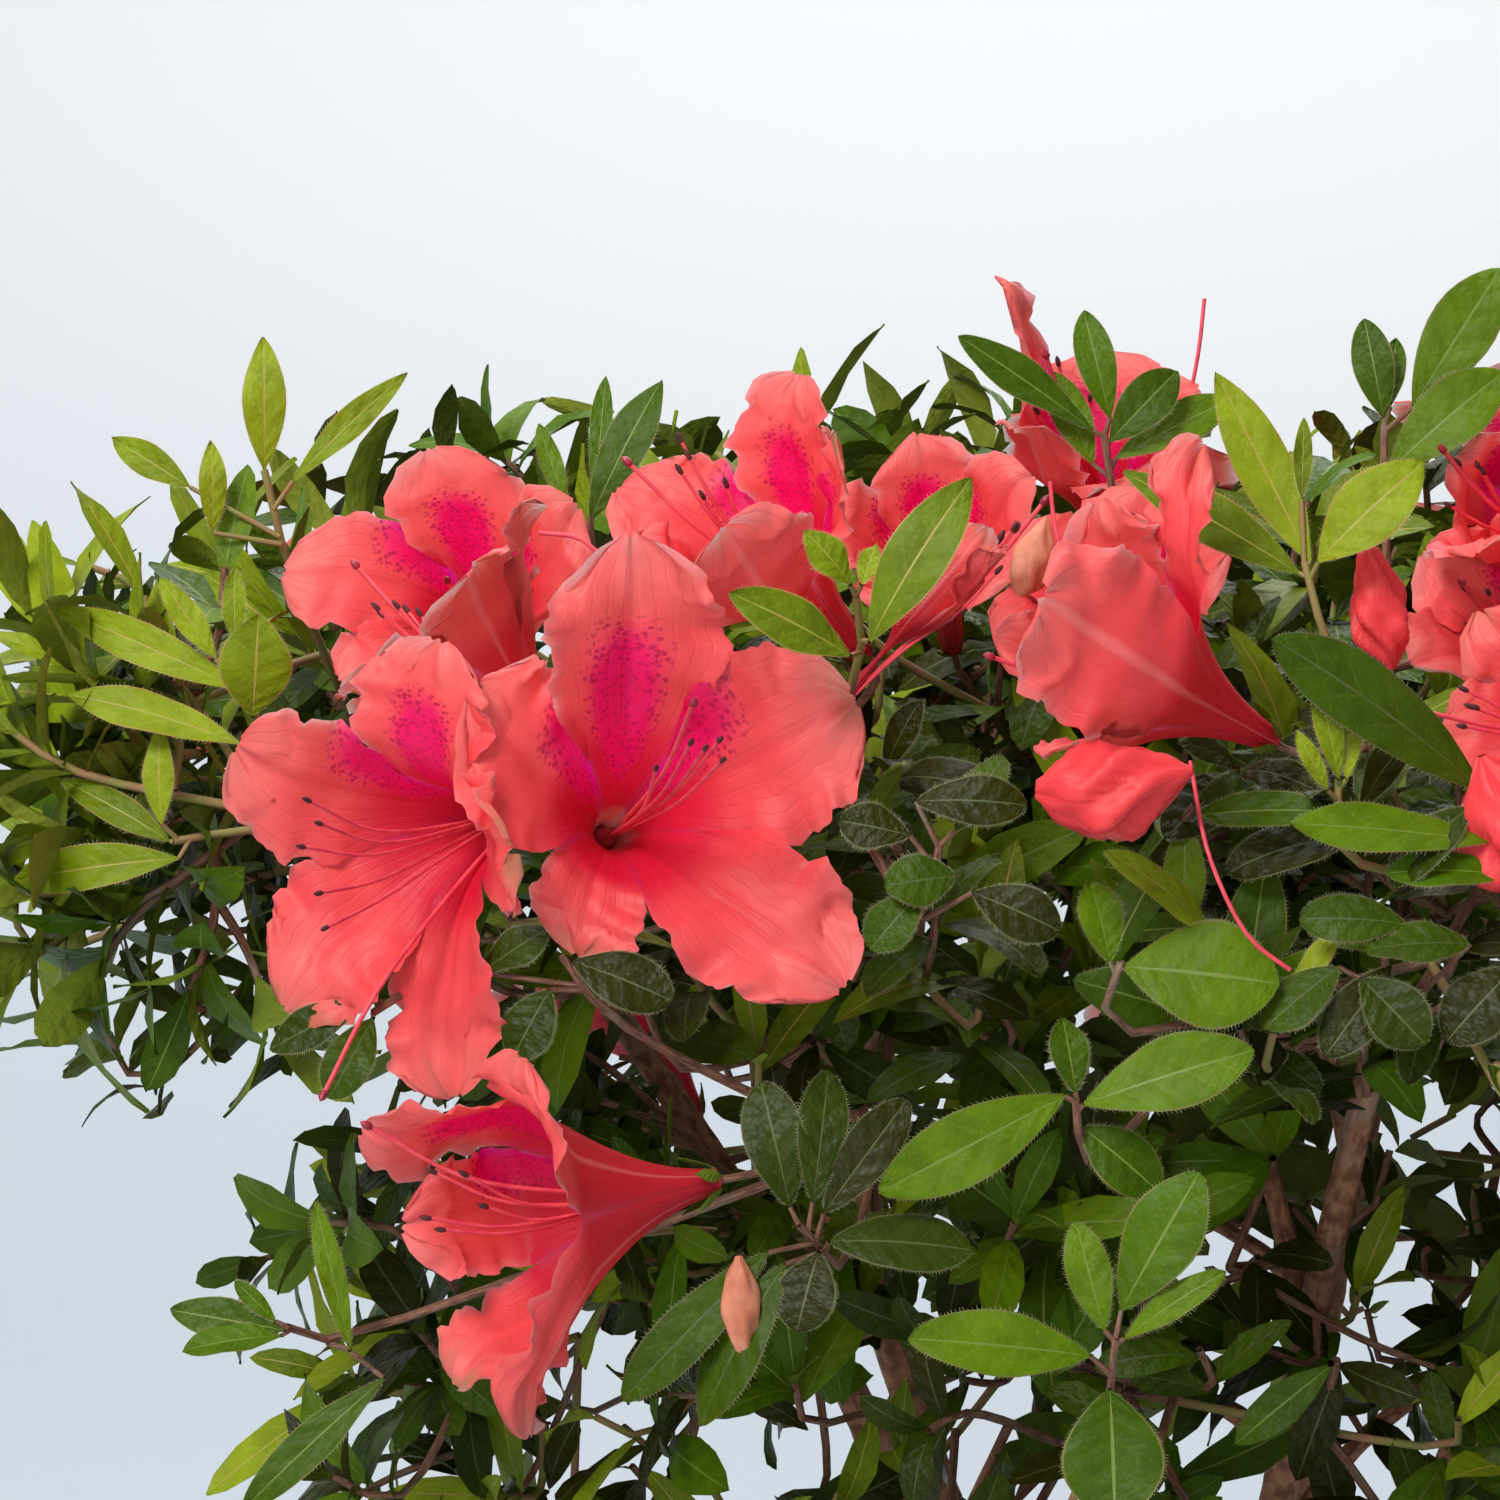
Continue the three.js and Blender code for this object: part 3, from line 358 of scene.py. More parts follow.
# Lights: place, target, size, power and colour, in metres and watts
CROWN = (0, 0, 0.5)
LIGHTS = {
    "key": ((-1.3, -1.9, 2.7), CROWN, 1.3, 84, (1.0, 0.98, 0.95)),
    "fill": ((-0.5, -2.5, 0.6), CROWN, 1.8, 14, (1.0, 0.99, 0.97)),
    "back": ((0.6, 2.2, 2.4), CROWN, 1.4, 24, (1.0, 1.0, 1.0)),
    "paper_light": ((-0.4, 0.5, 2.6), (0.2, 3.4, 0.3), 1.6, 46, (1.0, 0.985, 0.97)),
}
SKY = {"colour": (0.96, 0.975, 1.0, 1), "strength": 0.36}
# The backdrop in metres: half its width, its near edge, where it bends up, and the bend's radius and top
PAPER = {"half": 6.0, "near": -3.5, "bend_from": 1.6, "bend": 1.2, "top": 4.2}

# Tones of the leaves by age: faces and underside with their veins and roughness, and the rib and margin
LEAF_TONES = {
    "mature": {
        "faces": [((42, 56, 0), (80, 92, 26), 0.42), ((54, 74, 2), (96, 112, 32), 0.44),
                  ((40, 42, 0), (72, 76, 26), 0.4)],
        "under": ((84, 94, 30), (110, 118, 48), 0.6),
        "rib": ((56, 74, 14), (70, 82, 22)), "margin": ((58, 70, 18), (80, 76, 34))},
    "middle": {
        "faces": [((68, 98, 0), (108, 132, 28), 0.46), ((84, 110, 4), (124, 142, 36), 0.48),
                  ((58, 82, 0), (94, 116, 28), 0.46)],
        "under": ((100, 118, 32), (130, 142, 56), 0.6),
        "rib": ((94, 122, 24), (106, 122, 32)), "margin": ((84, 104, 18), (104, 96, 32))},
    "young": {
        "faces": [((110, 128, 10), (150, 162, 50), 0.48), ((126, 142, 18), (162, 172, 58), 0.5),
                  ((94, 112, 10), (136, 150, 46), 0.48)],
        "under": ((132, 144, 48), (160, 168, 74), 0.6),
        "rib": ((150, 152, 52), (158, 134, 58)), "margin": ((156, 112, 48), (142, 138, 42))},
}
# Tones of the petals: the darker one in the throat, which is partly the petal's own tone and partly painted
# shade, then middle, edge, flare and its flecks
PETAL_TONES = {
    "inner": [(212, 16, 46), (243, 67, 71), (251, 97, 94), (236, 4, 86), (172, 0, 58)],
    "outer": [(196, 30, 44), (232, 66, 70), (246, 92, 90), (226, 6, 82), (164, 0, 54)],
}
MIX_CHIP_TONES = [
    ((96, 62, 42), (66, 44, 32)), ((126, 88, 60), (92, 62, 44)), ((58, 42, 34), (40, 30, 26))]
MIX_CHIPS = {"count": 1500, "length": (1.6, 5.5), "width": (1, 3), "thickness": (0.4, 1.1)}


# Numbers and directions

def seeded_numbers(seed):
    """The same stream of numbers between 0 and 1 that the solids are grown from."""
    state = 90001 + seed * 7919

    def draw():
        nonlocal state
        state = (state * 16807) % 2147483647
        return state / 2147483647

    return draw


def unit(vector):
    return vector / np.linalg.norm(vector)


def direction(azimuth, elevation):
    around, up = math.radians(azimuth), math.radians(elevation)
    return np.array([math.cos(around) * math.cos(up), math.sin(around) * math.cos(up), math.sin(up)])


def random_direction(draw):
    up = draw() * 2 - 1
    around = draw() * math.pi * 2
    level = math.sqrt(1 - up * up)
    return np.array([level * math.cos(around), level * math.sin(around), up])


def smooth_step(low, high, value):
    share = np.clip((value - low) / (high - low), 0, 1)
    return share * share * (3 - 2 * share)


def turned_pair(x, y, angle):
    return x * np.cos(angle) - y * np.sin(angle), x * np.sin(angle) + y * np.cos(angle)


def signed_angle(angle):
    """The same angle between minus and plus half a turn."""
    return (angle + math.pi) % (2 * math.pi) - math.pi


def angles_around(count):
    return np.linspace(0, 2 * math.pi, count, endpoint=False)


def lengths_along(points):
    return np.concatenate([[0], np.cumsum(np.linalg.norm(np.diff(points, axis=0), axis=1))])


# Meshes

class Piece:
    """Collects sheets of four-sided faces, then makes one joined mesh of them that rides on the plant."""

    def __init__(self, name, materials, marks=()):
        self.name = name
        self.materials = materials
        self.marks = {mark: [] for mark in marks}
        self.places, self.quads, self.slots, self.uvs = [], [], [], []
        self.count = 0

    def add(self, places, quads, slots, uvs, **marks):
        """Slots and marks are one value for the sheet, or one for each face or place."""
        self.places.append(places)
        self.quads.append(quads + self.count)
        self.slots.append(np.broadcast_to(slots, len(quads)))
        self.uvs.append(uvs)
        for mark, values in self.marks.items():
            values.append(np.broadcast_to(marks.get(mark, 0.0), len(places)))
        self.count += len(places)

    def build(self, slot, replaces=()):
        places = np.concatenate(self.places) * MM
        quads = np.concatenate(self.quads)
        uvs = np.concatenate(self.uvs)
        mesh = bpy.data.meshes.new(self.name)
        mesh.vertices.add(len(places))
        mesh.vertices.foreach_set("co", places.astype(np.float32).ravel())
        mesh.loops.add(quads.size)
        mesh.loops.foreach_set("vertex_index", quads.astype(np.int32).ravel())
        mesh.polygons.add(len(quads))
        mesh.polygons.foreach_set("loop_start", np.arange(0, quads.size, 4, dtype=np.int32))
        mesh.polygons.foreach_set("material_index", np.concatenate(self.slots).astype(np.int32))
        mesh.update(calc_edges=True)
        layer = mesh.uv_layers.new(name="UVMap")
        layer.data.foreach_set("uv", uvs[quads.ravel()].astype(np.float32).ravel())
        for mark, values in self.marks.items():
            attribute = mesh.attributes.new(mark, "FLOAT", "POINT")
            attribute.data.foreach_set("value", np.concatenate(values).astype(np.float32))
        mesh.shade_smooth()
        for material in self.materials:
            mesh.materials.append(material)
        thing = bpy.data.objects.new(self.name, mesh)
        bpy.context.collection.objects.link(thing)
        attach(thing, "root")
        if replaces:
            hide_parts(*replaces)
        print(self.name, len(quads) * 2, "triangles")


def cubic(start, lower, upper, end, count):
    """Points along a Bezier curve."""
    t = np.linspace(0, 1, count)[:, None]
    return (1 - t) ** 3 * start + 3 * (1 - t) ** 2 * t * lower + 3 * (1 - t) * t ** 2 * upper + t ** 3 * end


def turned_over(quads):
    """The same faces seen from behind, still cut along the same diagonal."""
    return quads[:, [0, 3, 2, 1]]


def ring_uvs(line, sides):
    """UVs of a ring of places at each point of a line, by decimetres along it."""
    around = np.linspace(0, 1, sides, endpoint=False)
    return np.stack(np.meshgrid(around, lengths_along(line) / 100), axis=-1).reshape(-1, 2)


def grid_quads(rows, columns, around=False):
    """Faces of a grid of points, closed into a ring of columns if it goes around."""
    index = np.arange(rows * columns).reshape(rows, columns)
    if around:
        index = np.concatenate([index, index[:, :1]], axis=1)
    corners = [index[:-1, :-1], index[:-1, 1:], index[1:, 1:], index[1:, :-1]]
    return np.stack(corners, axis=-1).reshape(-1, 4)


# Limbs

class Curve:
    """The centripetal Catmull-Rom curve through some points, by length along it."""

    def __init__(self, points, steps=200):
        self.points = [np.asarray(point, float) for point in points]
        self.shares = np.linspace(0, 1, steps + 1)
        self.lengths = lengths_along([self.point(share) for share in self.shares])
        self.length = self.lengths[-1]

    def point(self, share):
        points, last = self.points, len(self.points) - 1
        along = last * share
        index = min(int(along), last - 1)
        weight = along - index
        before = points[index - 1] if index > 0 else 2 * points[0] - points[1]
        first, second = points[index], points[index + 1]
        after = points[index + 2] if index + 2 <= last else 2 * points[last] - points[last - 1]
        steps = (first - before, second - first, after - second)
        a, b, c = (max(np.linalg.norm(step) ** 0.5, 1e-4) for step in steps)
        leave = (first - before) / a - (second - before) / (a + b) + (second - first) / b
        enter = (second - first) / b - (after - first) / (b + c) + (after - second) / c
        leave, enter = leave * b, enter * b
        square = -3 * first + 3 * second - 2 * leave - enter
        cube = 2 * first - 2 * second + leave + enter
        return first + leave * weight + square * weight ** 2 + cube * weight ** 3

    def share_at(self, along):
        return float(np.interp(along * self.length, self.lengths, self.shares))

    def at(self, along):
        return self.point(self.share_at(along))

    def tangent(self, along):
        share = self.share_at(along)
        return unit(self.point(min(1, share + 1e-4)) - self.point(max(0, share - 1e-4)))


class Limb:
    """A bough or the trunk: its curve, its radius along it, and where side boughs fork off."""

    def __init__(self, name, points, radius_at):
        self.name = name
        self.curve = Curve(points)
        self.radius_at = radius_at
        self.forks = []


def taper(base, tip):
    return lambda along: base + (tip - base) * along


def trunk_radius(along):
    flare = TRUNK["flare"] * np.exp(-along * TRUNK["height"] / TRUNK["flare_height"])
    return TRUNK["base"] + (TRUNK["top"] - TRUNK["base"]) * along + flare


def make_trunk():
    height, lean = TRUNK["height"], TRUNK["lean"]
    foot = np.array([0, 0, SOIL_TOP + CLEARANCE])
    half_leaning = (lean * 0.5, -lean * 0.3, height * 0.6)
    rises = [(0, 0, 0), (0, 0, height * 0.25), half_leaning, (lean, -lean, height)]
    return Limb("trunk", [foot + np.array(rise) for rise in rises], trunk_radius)


def make_main_boughs(trunk, masses):
    limbs = []
    for i in range(MAIN_BOUGH["count"]):
        azimuth = (MAIN_BOUGH["turn"] + i * 360 / MAIN_BOUGH["count"]) % 360
        free = [mass for mass in masses if mass.tier["name"] == "upper" and mass.bough is None]
        mass = min(free, key=lambda other: abs((other.azimuth - azimuth + 540) % 360 - 180))
        start = trunk.curve.at(0.6 + 0.3 * ((i * 2) % MAIN_BOUGH["count"]) / MAIN_BOUGH["count"])
        out = direction(mass.azimuth, 0)
        low = start + out * 30 + np.array([0, 0, 34])
        high = start + (mass.entry - start) * 0.55 + out * 6 + np.array([0, 0, 16])
        radius_at = taper(MAIN_BOUGH["base"], MAIN_BOUGH["tip"])
        mass.bough = Limb(f"main_bough_{i + 1}", [start, low, high, mass.entry], radius_at)
        limbs.append(mass.bough)
    return limbs


def best_fork(main_boughs, entry):
    """The bough, share and place that a side bough forks off from, by the shortest and smoothest way."""
    best = None
    for parent in main_boughs:
        for along in np.arange(FORK["from"], FORK["to"], FORK["step"]):
            place = parent.curve.at(along)
            way = entry - place
            span = np.linalg.norm(way)
            bend = np.dot(way / span, parent.curve.tangent(along))
            crowded = any(np.linalg.norm(other - place) < SIDE_BOUGH["fork_gap"] for other in parent.forks)
            cost = span * (1 + FORK["bend_cost"] * max(0, FORK["straight"] - bend))
            cost += FORK["crowded_cost"] * crowded + FORK["short_cost"] * (span < FORK["short"])
            if best is None or cost < best[0]:
                best = (cost, parent, along, place)
    best[1].forks.append(best[3])
    return best[1:]


def make_side_boughs(main_boughs, masses):
    limbs = []
    for mass in [other for other in masses if other.bough is None]:
        parent, along, place = best_fork(main_boughs, mass.entry)
        way = mass.entry - place
        lead = parent.curve.tangent(along) * np.linalg.norm(way) * 0.14
        route = [place, place + way * 0.36 + lead, place + way * 0.72 + lead * 0.6, mass.entry]
        radius_at = taper(SIDE_BOUGH["base"], SIDE_BOUGH["tip"])
        mass.bough = Limb(f"side_bough_{len(limbs) + 1}", route, radius_at)
        limbs.append(mass.bough)
    return limbs


# The masses of foliage and the space that each keeps to

class Mass:
    def __init__(self, name, tier, azimuth, centre, draw):
        self.name, self.tier, self.azimuth, self.centre, self.draw = name, tier, azimuth, centre, draw
        self.entry = centre - unit(centre - HEART) * tier["girth"] * tier["inset"]
        self.size = np.array([tier["girth"], tier["girth"], tier["rise"]])
        self.bough = None
        self.blooms, self.joints, self.twigs, self.shoots = [], [], [], []

    def set_walls(self, masses):
        others = [other.centre - self.centre for other in masses if other is not self]
        self.halves = np.array([np.linalg.norm(between) / 2 for between in others])
        self.walls = np.array([unit(between) for between in others])

    def holds(self, points, margin):
        """Whether all the points lie on this mass's side of the planes half way to the others."""
        return bool(np.all((points - self.centre) @ self.walls.T < self.halves - margin))

    def reach_of(self, points):
        """How far out the points lie, where 1 is the edge of the mass's own reach."""
        return float(np.max(np.linalg.norm((points - self.centre) / self.size, axis=1)))


def make_masses():
    masses = []
    for tier in TIERS:
        for i in range(tier["count"]):
            draw = seeded_numbers(len(masses) + 1)
            azimuth = tier["turn"] + i * 360 / tier["count"]
            centre = direction(azimuth, 0) * tier["reach"]
            centre[2] = tier["height"] + (draw() - 0.5) * HEIGHT_JITTER
            masses.append(Mass(f"foliage_{tier['name']}_{i + 1}", tier, azimuth, centre, draw))
    for mass in masses:
        mass.set_walls(masses)
    return masses


class Bloom:
    """Where a bloom is and faces. Front is its number if it has a place of its own."""

    def __init__(self, mouth, facing, radius=BLOOM["radius"], front=None):
        self.mouth, self.facing, self.radius, self.front = mouth, facing, radius, front
        self.base = mouth - facing * BLOOM["depth"]
        self.grown = False

    def outside(self, points):
        """How far points are outside the bloom and the clear space ahead of its mouth."""
        offset = points - self.base
        ahead = offset @ self.facing
        aside = np.sqrt(np.maximum(0, np.sum(offset ** 2, axis=1) - ahead ** 2))
        opening = np.clip((ahead / BLOOM["depth"] - 0.2) / 0.8, 0, 1)
        radius = BLOOM["throat"] + (self.radius - BLOOM["throat"]) * opening
        return np.maximum(np.maximum(aside - radius, -ahead), ahead - BLOOM["depth"] - BLOOM["clear_ahead"])


def turn_from_z(facing):
    """The shortest turn that takes +Z to the way that is faced."""
    across = np.cross([0, 0, 1], facing)
    w = 1 + facing[2]
    quaternion = unit(np.array([w, *across])) if w > 1e-6 else np.array([0, 1, 0, 0])
    w, x, y, z = quaternion
    return np.array([
        [1 - 2 * (y * y + z * z), 2 * (x * y - z * w), 2 * (x * z + y * w)],
        [2 * (x * y + z * w), 1 - 2 * (x * x + z * z), 2 * (y * z - x * w)],
        [2 * (x * z - y * w), 2 * (y * z + x * w), 1 - 2 * (x * x + y * y)],
    ])


class Plant:
    """The masses, limbs and blooms, and what leaves and twigs have to keep clear of."""

    def __init__(self, masses, limbs):
        self.masses, self.limbs, self.blooms = masses, limbs, []
        self.views = np.array(OPEN_VIEWS + [(*row, THROUGH_THE_CROWN) for row in OPEN_SKY], float)
        points, radii = [], []
        for limb in limbs:
            count = math.ceil(limb.curve.length / 4)
            for i in range(count + 1):
                points.append(limb.curve.at(i / count))
                radii.append(float(limb.radius_at(i / count)))
        self.samples, self.radii = np.array(points), np.array(radii)

    def clear_of_limbs(self, points, margin):
        gaps = np.linalg.norm(points[:, None] - self.samples[None], axis=2) - self.radii
        return bool(gaps.min() > margin)

    def near_blooms(self, place):
        return [bloom for bloom in self.blooms if np.linalg.norm(bloom.mouth - place) < BLOOM["near"]]

    def free_near(self, start):
        """Drops the samples of a bough's tip where a stem starts."""
        keep = (np.linalg.norm(self.samples - start, axis=1) > 6) | (self.radii > 2)
        self.samples, self.radii = self.samples[keep], self.radii[keep]


def outward_facing(place, draw, places):
    facing = unit(place - HEART)
    facing = facing + np.array([0, 0, places["upward"]])
    return unit(facing + random_direction(draw) * places["wander"])


def place_in_mass(mass, places):
    share = places["nearest"] + (places["furthest"] - places["nearest"]) * mass.draw()
    return mass.centre + random_direction(mass.draw) * mass.size * share


def far_from_all(place, places, gap):
    return all(np.linalg.norm(other - place) > gap for other in places)


def bloom_fits(bloom, mass, plant):
    spokes = [2 * math.pi * i / 5 for i in range(5)]
    turn = turn_from_z(bloom.facing)
    rim = [bloom.mouth + turn @ np.array([math.cos(a), math.sin(a), 0]) * bloom.radius for a in spokes]
    outline = np.array([bloom.base, bloom.mouth, *rim])
    stays_low = SHOWN_SIDE["low_from"] < mass.azimuth < SHOWN_SIDE["from"]
    return (
        np.dot(bloom.mouth - mass.centre, bloom.facing) > 0.35 * mass.tier["rise"]
        and (not stays_low or outline[:, 2].max() < SHOWN_SIDE["low_top"])
        and far_from_all(bloom.mouth, [other.mouth for other in plant.blooms], BLOOM_PLACES["gap"])
        and far_from_all(bloom.base, [other.base for other in plant.blooms], BLOOM_PLACES["gap"] / 2)
        and mass.holds(outline, GAPS["bloom"]["space"])
        and plant.clear_of_limbs(outline, GAPS["bloom"]["limb"])
    )


def seed_blooms(plant, count):
    """Adds seeded blooms up to the count of that name in each mass that isn't on the shown side."""
    for mass in plant.masses:
        if SHOWN_SIDE["from"] < mass.azimuth < SHOWN_SIDE["to"]:
            continue
        tries = 0
        while tries < BLOOM_PLACES["tries"] and len(mass.blooms) < mass.tier[count]:
            tries += 1
            mouth = place_in_mass(mass, BLOOM_PLACES)
            bloom = Bloom(mouth, outward_facing(mouth, mass.draw, BLOOM_PLACES))
            if bloom_fits(bloom, mass, plant):
                mass.blooms.append(bloom)
                plant.blooms.append(bloom)


def nearest_mass(place, masses):
    return min(masses, key=lambda mass: np.linalg.norm(mass.centre - place))


def place_blooms(rows, plant, first):
    for number, (x, y, z, azimuth, elevation, radius) in enumerate(rows, first):
        bloom = Bloom(np.array([x, y, z], float), direction(azimuth, elevation), radius, number)
        nearest_mass(bloom.base, plant.masses).blooms.append(bloom)
        plant.blooms.append(bloom)


# Growing stems, twigs, shoots and their leaves

class Twig:
    """A line with its radius at the base and tip, and whether its bark is young."""

    def __init__(self, points, base, tip, young=False):
        self.points, self.base, self.tip, self.young = points, base, tip, young


class Shoot:
    """A bud on the end of its twig, with the leaves that stand round it."""

    def __init__(self, bud, leaves):
        self.bud, self.leaves = bud, leaves


def leaf_shape(kind, draw):
    """Length, width, belly, point, bend, fold and wave of one leaf of a kind."""
    rule = LEAF_KINDS[kind]

    def varied(name):
        least, span = rule[name]
        return least + span * draw()

    length = varied("length")
    width = length * varied("width")
    return [length, width, rule["belly"], rule["point"], varied("bend"), varied("fold"), rule["wave"]]


class Leaf:
    """A leaf's root, its axes along, across and out of its face, and its shape. Chance picks its tint."""

    def __init__(self, root, along, facing, kind, shape, chance, roll=0.0, front=False):
        self.root, self.kind, self.shape, self.front = root, kind, shape, front
        across = unit(np.cross(facing, along))
        face = np.cross(along, across)
        turned = across * math.cos(roll) + face * math.sin(roll)
        self.axes = np.array([along, turned, np.cross(along, turned)])
        self.tint = chance

    def outline(self):
        length, width, fold = self.shape[0], self.shape[1], self.shape[5]
        rows = []
        for along, half in ((0.12, 0.2), (0.35, 0.8), (0.6, 1.0), (0.82, 0.65), (1.0, 0.0)):
            side = half * width / 2
            rows += [(along * length, -side, side * fold), (along * length, side, side * fold)]
        return self.root + np.array(rows) @ self.axes


def seen_as(points):
    """How far right and up of the focus the camera sees points, and how far behind it they are."""
    offset = points - EYE
    distance = offset @ VIEW_AHEAD
    scale = VIEW_DISTANCE / distance
    return np.stack([offset[..., 0] * scale, (offset @ VIEW_UP) * scale, distance - VIEW_DISTANCE], axis=-1)


def seen_at(right, up, back):
    """The place that the camera sees there: the reverse of seen_as."""
    scale = (VIEW_DISTANCE + back) / VIEW_DISTANCE
    return EYE + VIEW_AHEAD * (VIEW_DISTANCE + back) + (np.array([right, 0, 0]) + VIEW_UP * up) * scale


def keeps_views_open(points, views):
    seen = seen_as(points)
    apart = np.linalg.norm(seen[:, None, :2] - views[None, :, :2], axis=2)
    return not np.any((apart < views[:, 2]) & (seen[:, None, 2] < views[:, 3]))


def in_close_view(place):
    """Whether the camera sees a place near enough for its finer shape to show."""
    right, up, back = seen_as(place)
    half = IMAGE_WIDTH_AT_FOCUS / 2 + CLOSE_VIEW["margin"]
    return abs(right) < half and abs(up) < half and back < CLOSE_VIEW["back"]


def clear_of_blooms(leaf, plant):
    points, gap = leaf.outline(), GAPS["leaf"]["bloom"]
    return all(float(np.min(bloom.outside(points))) > gap for bloom in plant.near_blooms(leaf.root))


def leaf_fits(leaf, mass, plant):
    points = leaf.outline()
    return (
        mass.holds(points, GAPS["leaf"]["space"])
        and mass.reach_of(points) < LEAF_REACH
        and plant.clear_of_limbs(points, GAPS["leaf"]["limb"])
        and clear_of_blooms(leaf, plant)
        and keeps_views_open(points, plant.views)
    )


def whorl(bud, facing, draw, kind, count, spacing, inner, outer):
    """Leaves standing round a bud, the inner ones steeper, as in the solids."""
    side = unit(np.cross([0.31, 0.17, 0.93], facing))
    other = np.cross(facing, side)
    start = draw() * math.pi * 2
    leaves = []
    for i in range(count):
        around = start + i * GOLDEN_ANGLE
        lean = math.radians(inner + (outer - inner) * min(1, i / (count - 1)) + (draw() - 0.5) * 16)
        outward = side * math.cos(around) + other * math.sin(around)
        along = facing * math.cos(lean) + outward * math.sin(lean)
        shape = leaf_shape(kind, draw)
        if i < 2:
            shape[0] *= 0.75
            shape[1] *= 0.75
        root = bud - facing * spacing * i + outward * 0.5
        leaves.append(Leaf(root, unit(along), facing, kind, shape, draw(), (draw() - 0.5) * 0.5))
    return leaves


def seeded_leaves(bud, facing, mass, draw):
    """Fresh shoots carry long young leaves over an older whorl. The others are rosettes."""
    outside = mass.reach_of(bud[None]) > FRESH["outside_from"] and facing[2] > FRESH["least_rise"]
    if draw() < FRESH["outside" if outside else "within"]:
        young = whorl(bud, facing, draw, "young", 4 + int(draw() * 3), **WHORLS["fresh"])
        kind = "middle" if draw() < 0.5 else "mature"
        return young + whorl(bud - facing * 15, facing, draw, kind, 4, **WHORLS["under_fresh"])
    kind = "middle" if draw() < 0.3 else "mature"
    leaves = whorl(bud, facing, draw, kind, 6 + int(draw() * 3), **WHORLS["rosette"])
    if draw() < 0.5:
        leaves += whorl(bud - facing * 13, facing, draw, "mature", 3, **WHORLS["under_rosette"])
    return leaves


def grow_stem(mass, plant):
    """The stem that goes on from a mass's bough. Twigs leave it and each other at joints."""
    curve = mass.bough.curve
    tangent = curve.tangent(1)
    start = curve.at(1) + tangent * CLEARANCE
    end = start + (mass.centre - start) * STEM_REACH
    middle = start + tangent * np.linalg.norm(end - start) * 0.5
    walked = np.linalg.norm(middle - start)
    mass.joints = [(middle, walked), (end, walked + np.linalg.norm(end - middle))]
    inside = curve.at(1 - 3 / curve.length)
    base = float(mass.bough.radius_at(1)) * 0.97
    mass.twigs = [Twig([inside, start, middle, end], base, TWIG["stem_tip"])]
    plant.free_near(start)


def along_line(start, end, spacing):
    count = max(2, math.ceil(np.linalg.norm(end - start) / spacing))
    return start + (end - start) * np.linspace(0, 1, count + 1)[:, None]


def grow_twig(end, facing, mass, plant, own_bloom=None, young=False, front=False):
    """A twig leaves the joint near its end and not far along from the stem's foot, by the solids' rule.

    Those in front have a place of their own, so they grow whether the line is clear or not.
    """
    gaps = GAPS["twig"]
    neck = end - facing * NECK
    ranked = sorted(mass.joints, key=lambda joint: np.linalg.norm(joint[0] - neck) + DETOUR_COST * joint[1])
    blooms = [bloom for bloom in plant.near_blooms(neck) if bloom is not own_bloom]
    for place, walked in ranked[:8]:
        line = np.concatenate([along_line(place, neck, 3), along_line(neck, end, 3)])
        fits = mass.holds(line, gaps["space"]) and plant.clear_of_limbs(line, gaps["limb"])
        fits = fits and all(float(np.min(bloom.outside(line))) > gaps["bloom"] for bloom in blooms)
        if fits or front:
            mass.twigs.append(Twig([place, neck, end], TWIG["base"], TWIG["tip"], young))
            middle = place + (neck - place) * 0.6
            mass.joints.append((middle, walked + np.linalg.norm(middle - place)))
            return True
    return False


def grow_shoot(bud, facing, leaves, mass, plant):
    """Adds the shoot if enough of its leaves and a twig to it find room, and tells whether they do."""
    kept = [leaf for leaf in leaves if leaf_fits(leaf, mass, plant)]
    if len(kept) < SHOOT_PLACES["fewest_leaves"]:
        return False
    if not grow_twig(bud, facing, mass, plant, young=leaves[0].kind == "young"):
        return False
    for leaf in kept:
        leaf.front = in_close_view(leaf.root)
    mass.shoots.append(Shoot(bud, kept))
    return True


def shown_leaf(kind, row, chance):
    """A leaf from its root to its tip as the camera sees them, its face turned up and to the camera."""
    root_right, root_up, tip_right, tip_up, back, lean_back, width = row
    root = seen_at(root_right, root_up, back)
    along = seen_at(tip_right, tip_up, back + lean_back) - root
    shape = leaf_shape(kind, chance.rand)
    shape[0], shape[1] = np.linalg.norm(along) * 1.03, width
    shape[4] *= 0.5
    toward = unit(VIEW_UP * chance.uniform(0.3, 0.8) - VIEW_AHEAD)
    return Leaf(root, unit(along), toward, kind, shape, chance.rand(), chance.uniform(-0.25, 0.25), True)


def grow_sprig(kind, bud, stem, rows, plant, chance):
    """A shoot in front, with a short stalk from its stem to each leaf."""
    bud, stem = seen_at(*bud), seen_at(*stem)
    mass = nearest_mass(bud, plant.masses)
    leaves = [shown_leaf(kind, row, chance) for row in rows]
    grow_twig(bud, unit(bud - stem), mass, plant, young=kind == "young", front=True)
    down = unit(stem - bud)
    length = np.linalg.norm(stem - bud)
    for leaf in leaves:
        level = np.dot(leaf.root - bud, down)
        aside = np.linalg.norm(leaf.root - bud - down * level)
        foot = bud + down * np.clip(level + aside * 0.9, 0, length)
        if np.linalg.norm(leaf.root - foot) > 0.5:
            stalk = [foot, leaf.root + (foot - leaf.root) * 0.4, leaf.root]
            mass.twigs.append(Twig(stalk, TWIG["stalk_base"], TWIG["stalk_tip"], kind == "young"))
    mass.shoots.append(Shoot(bud, leaves))


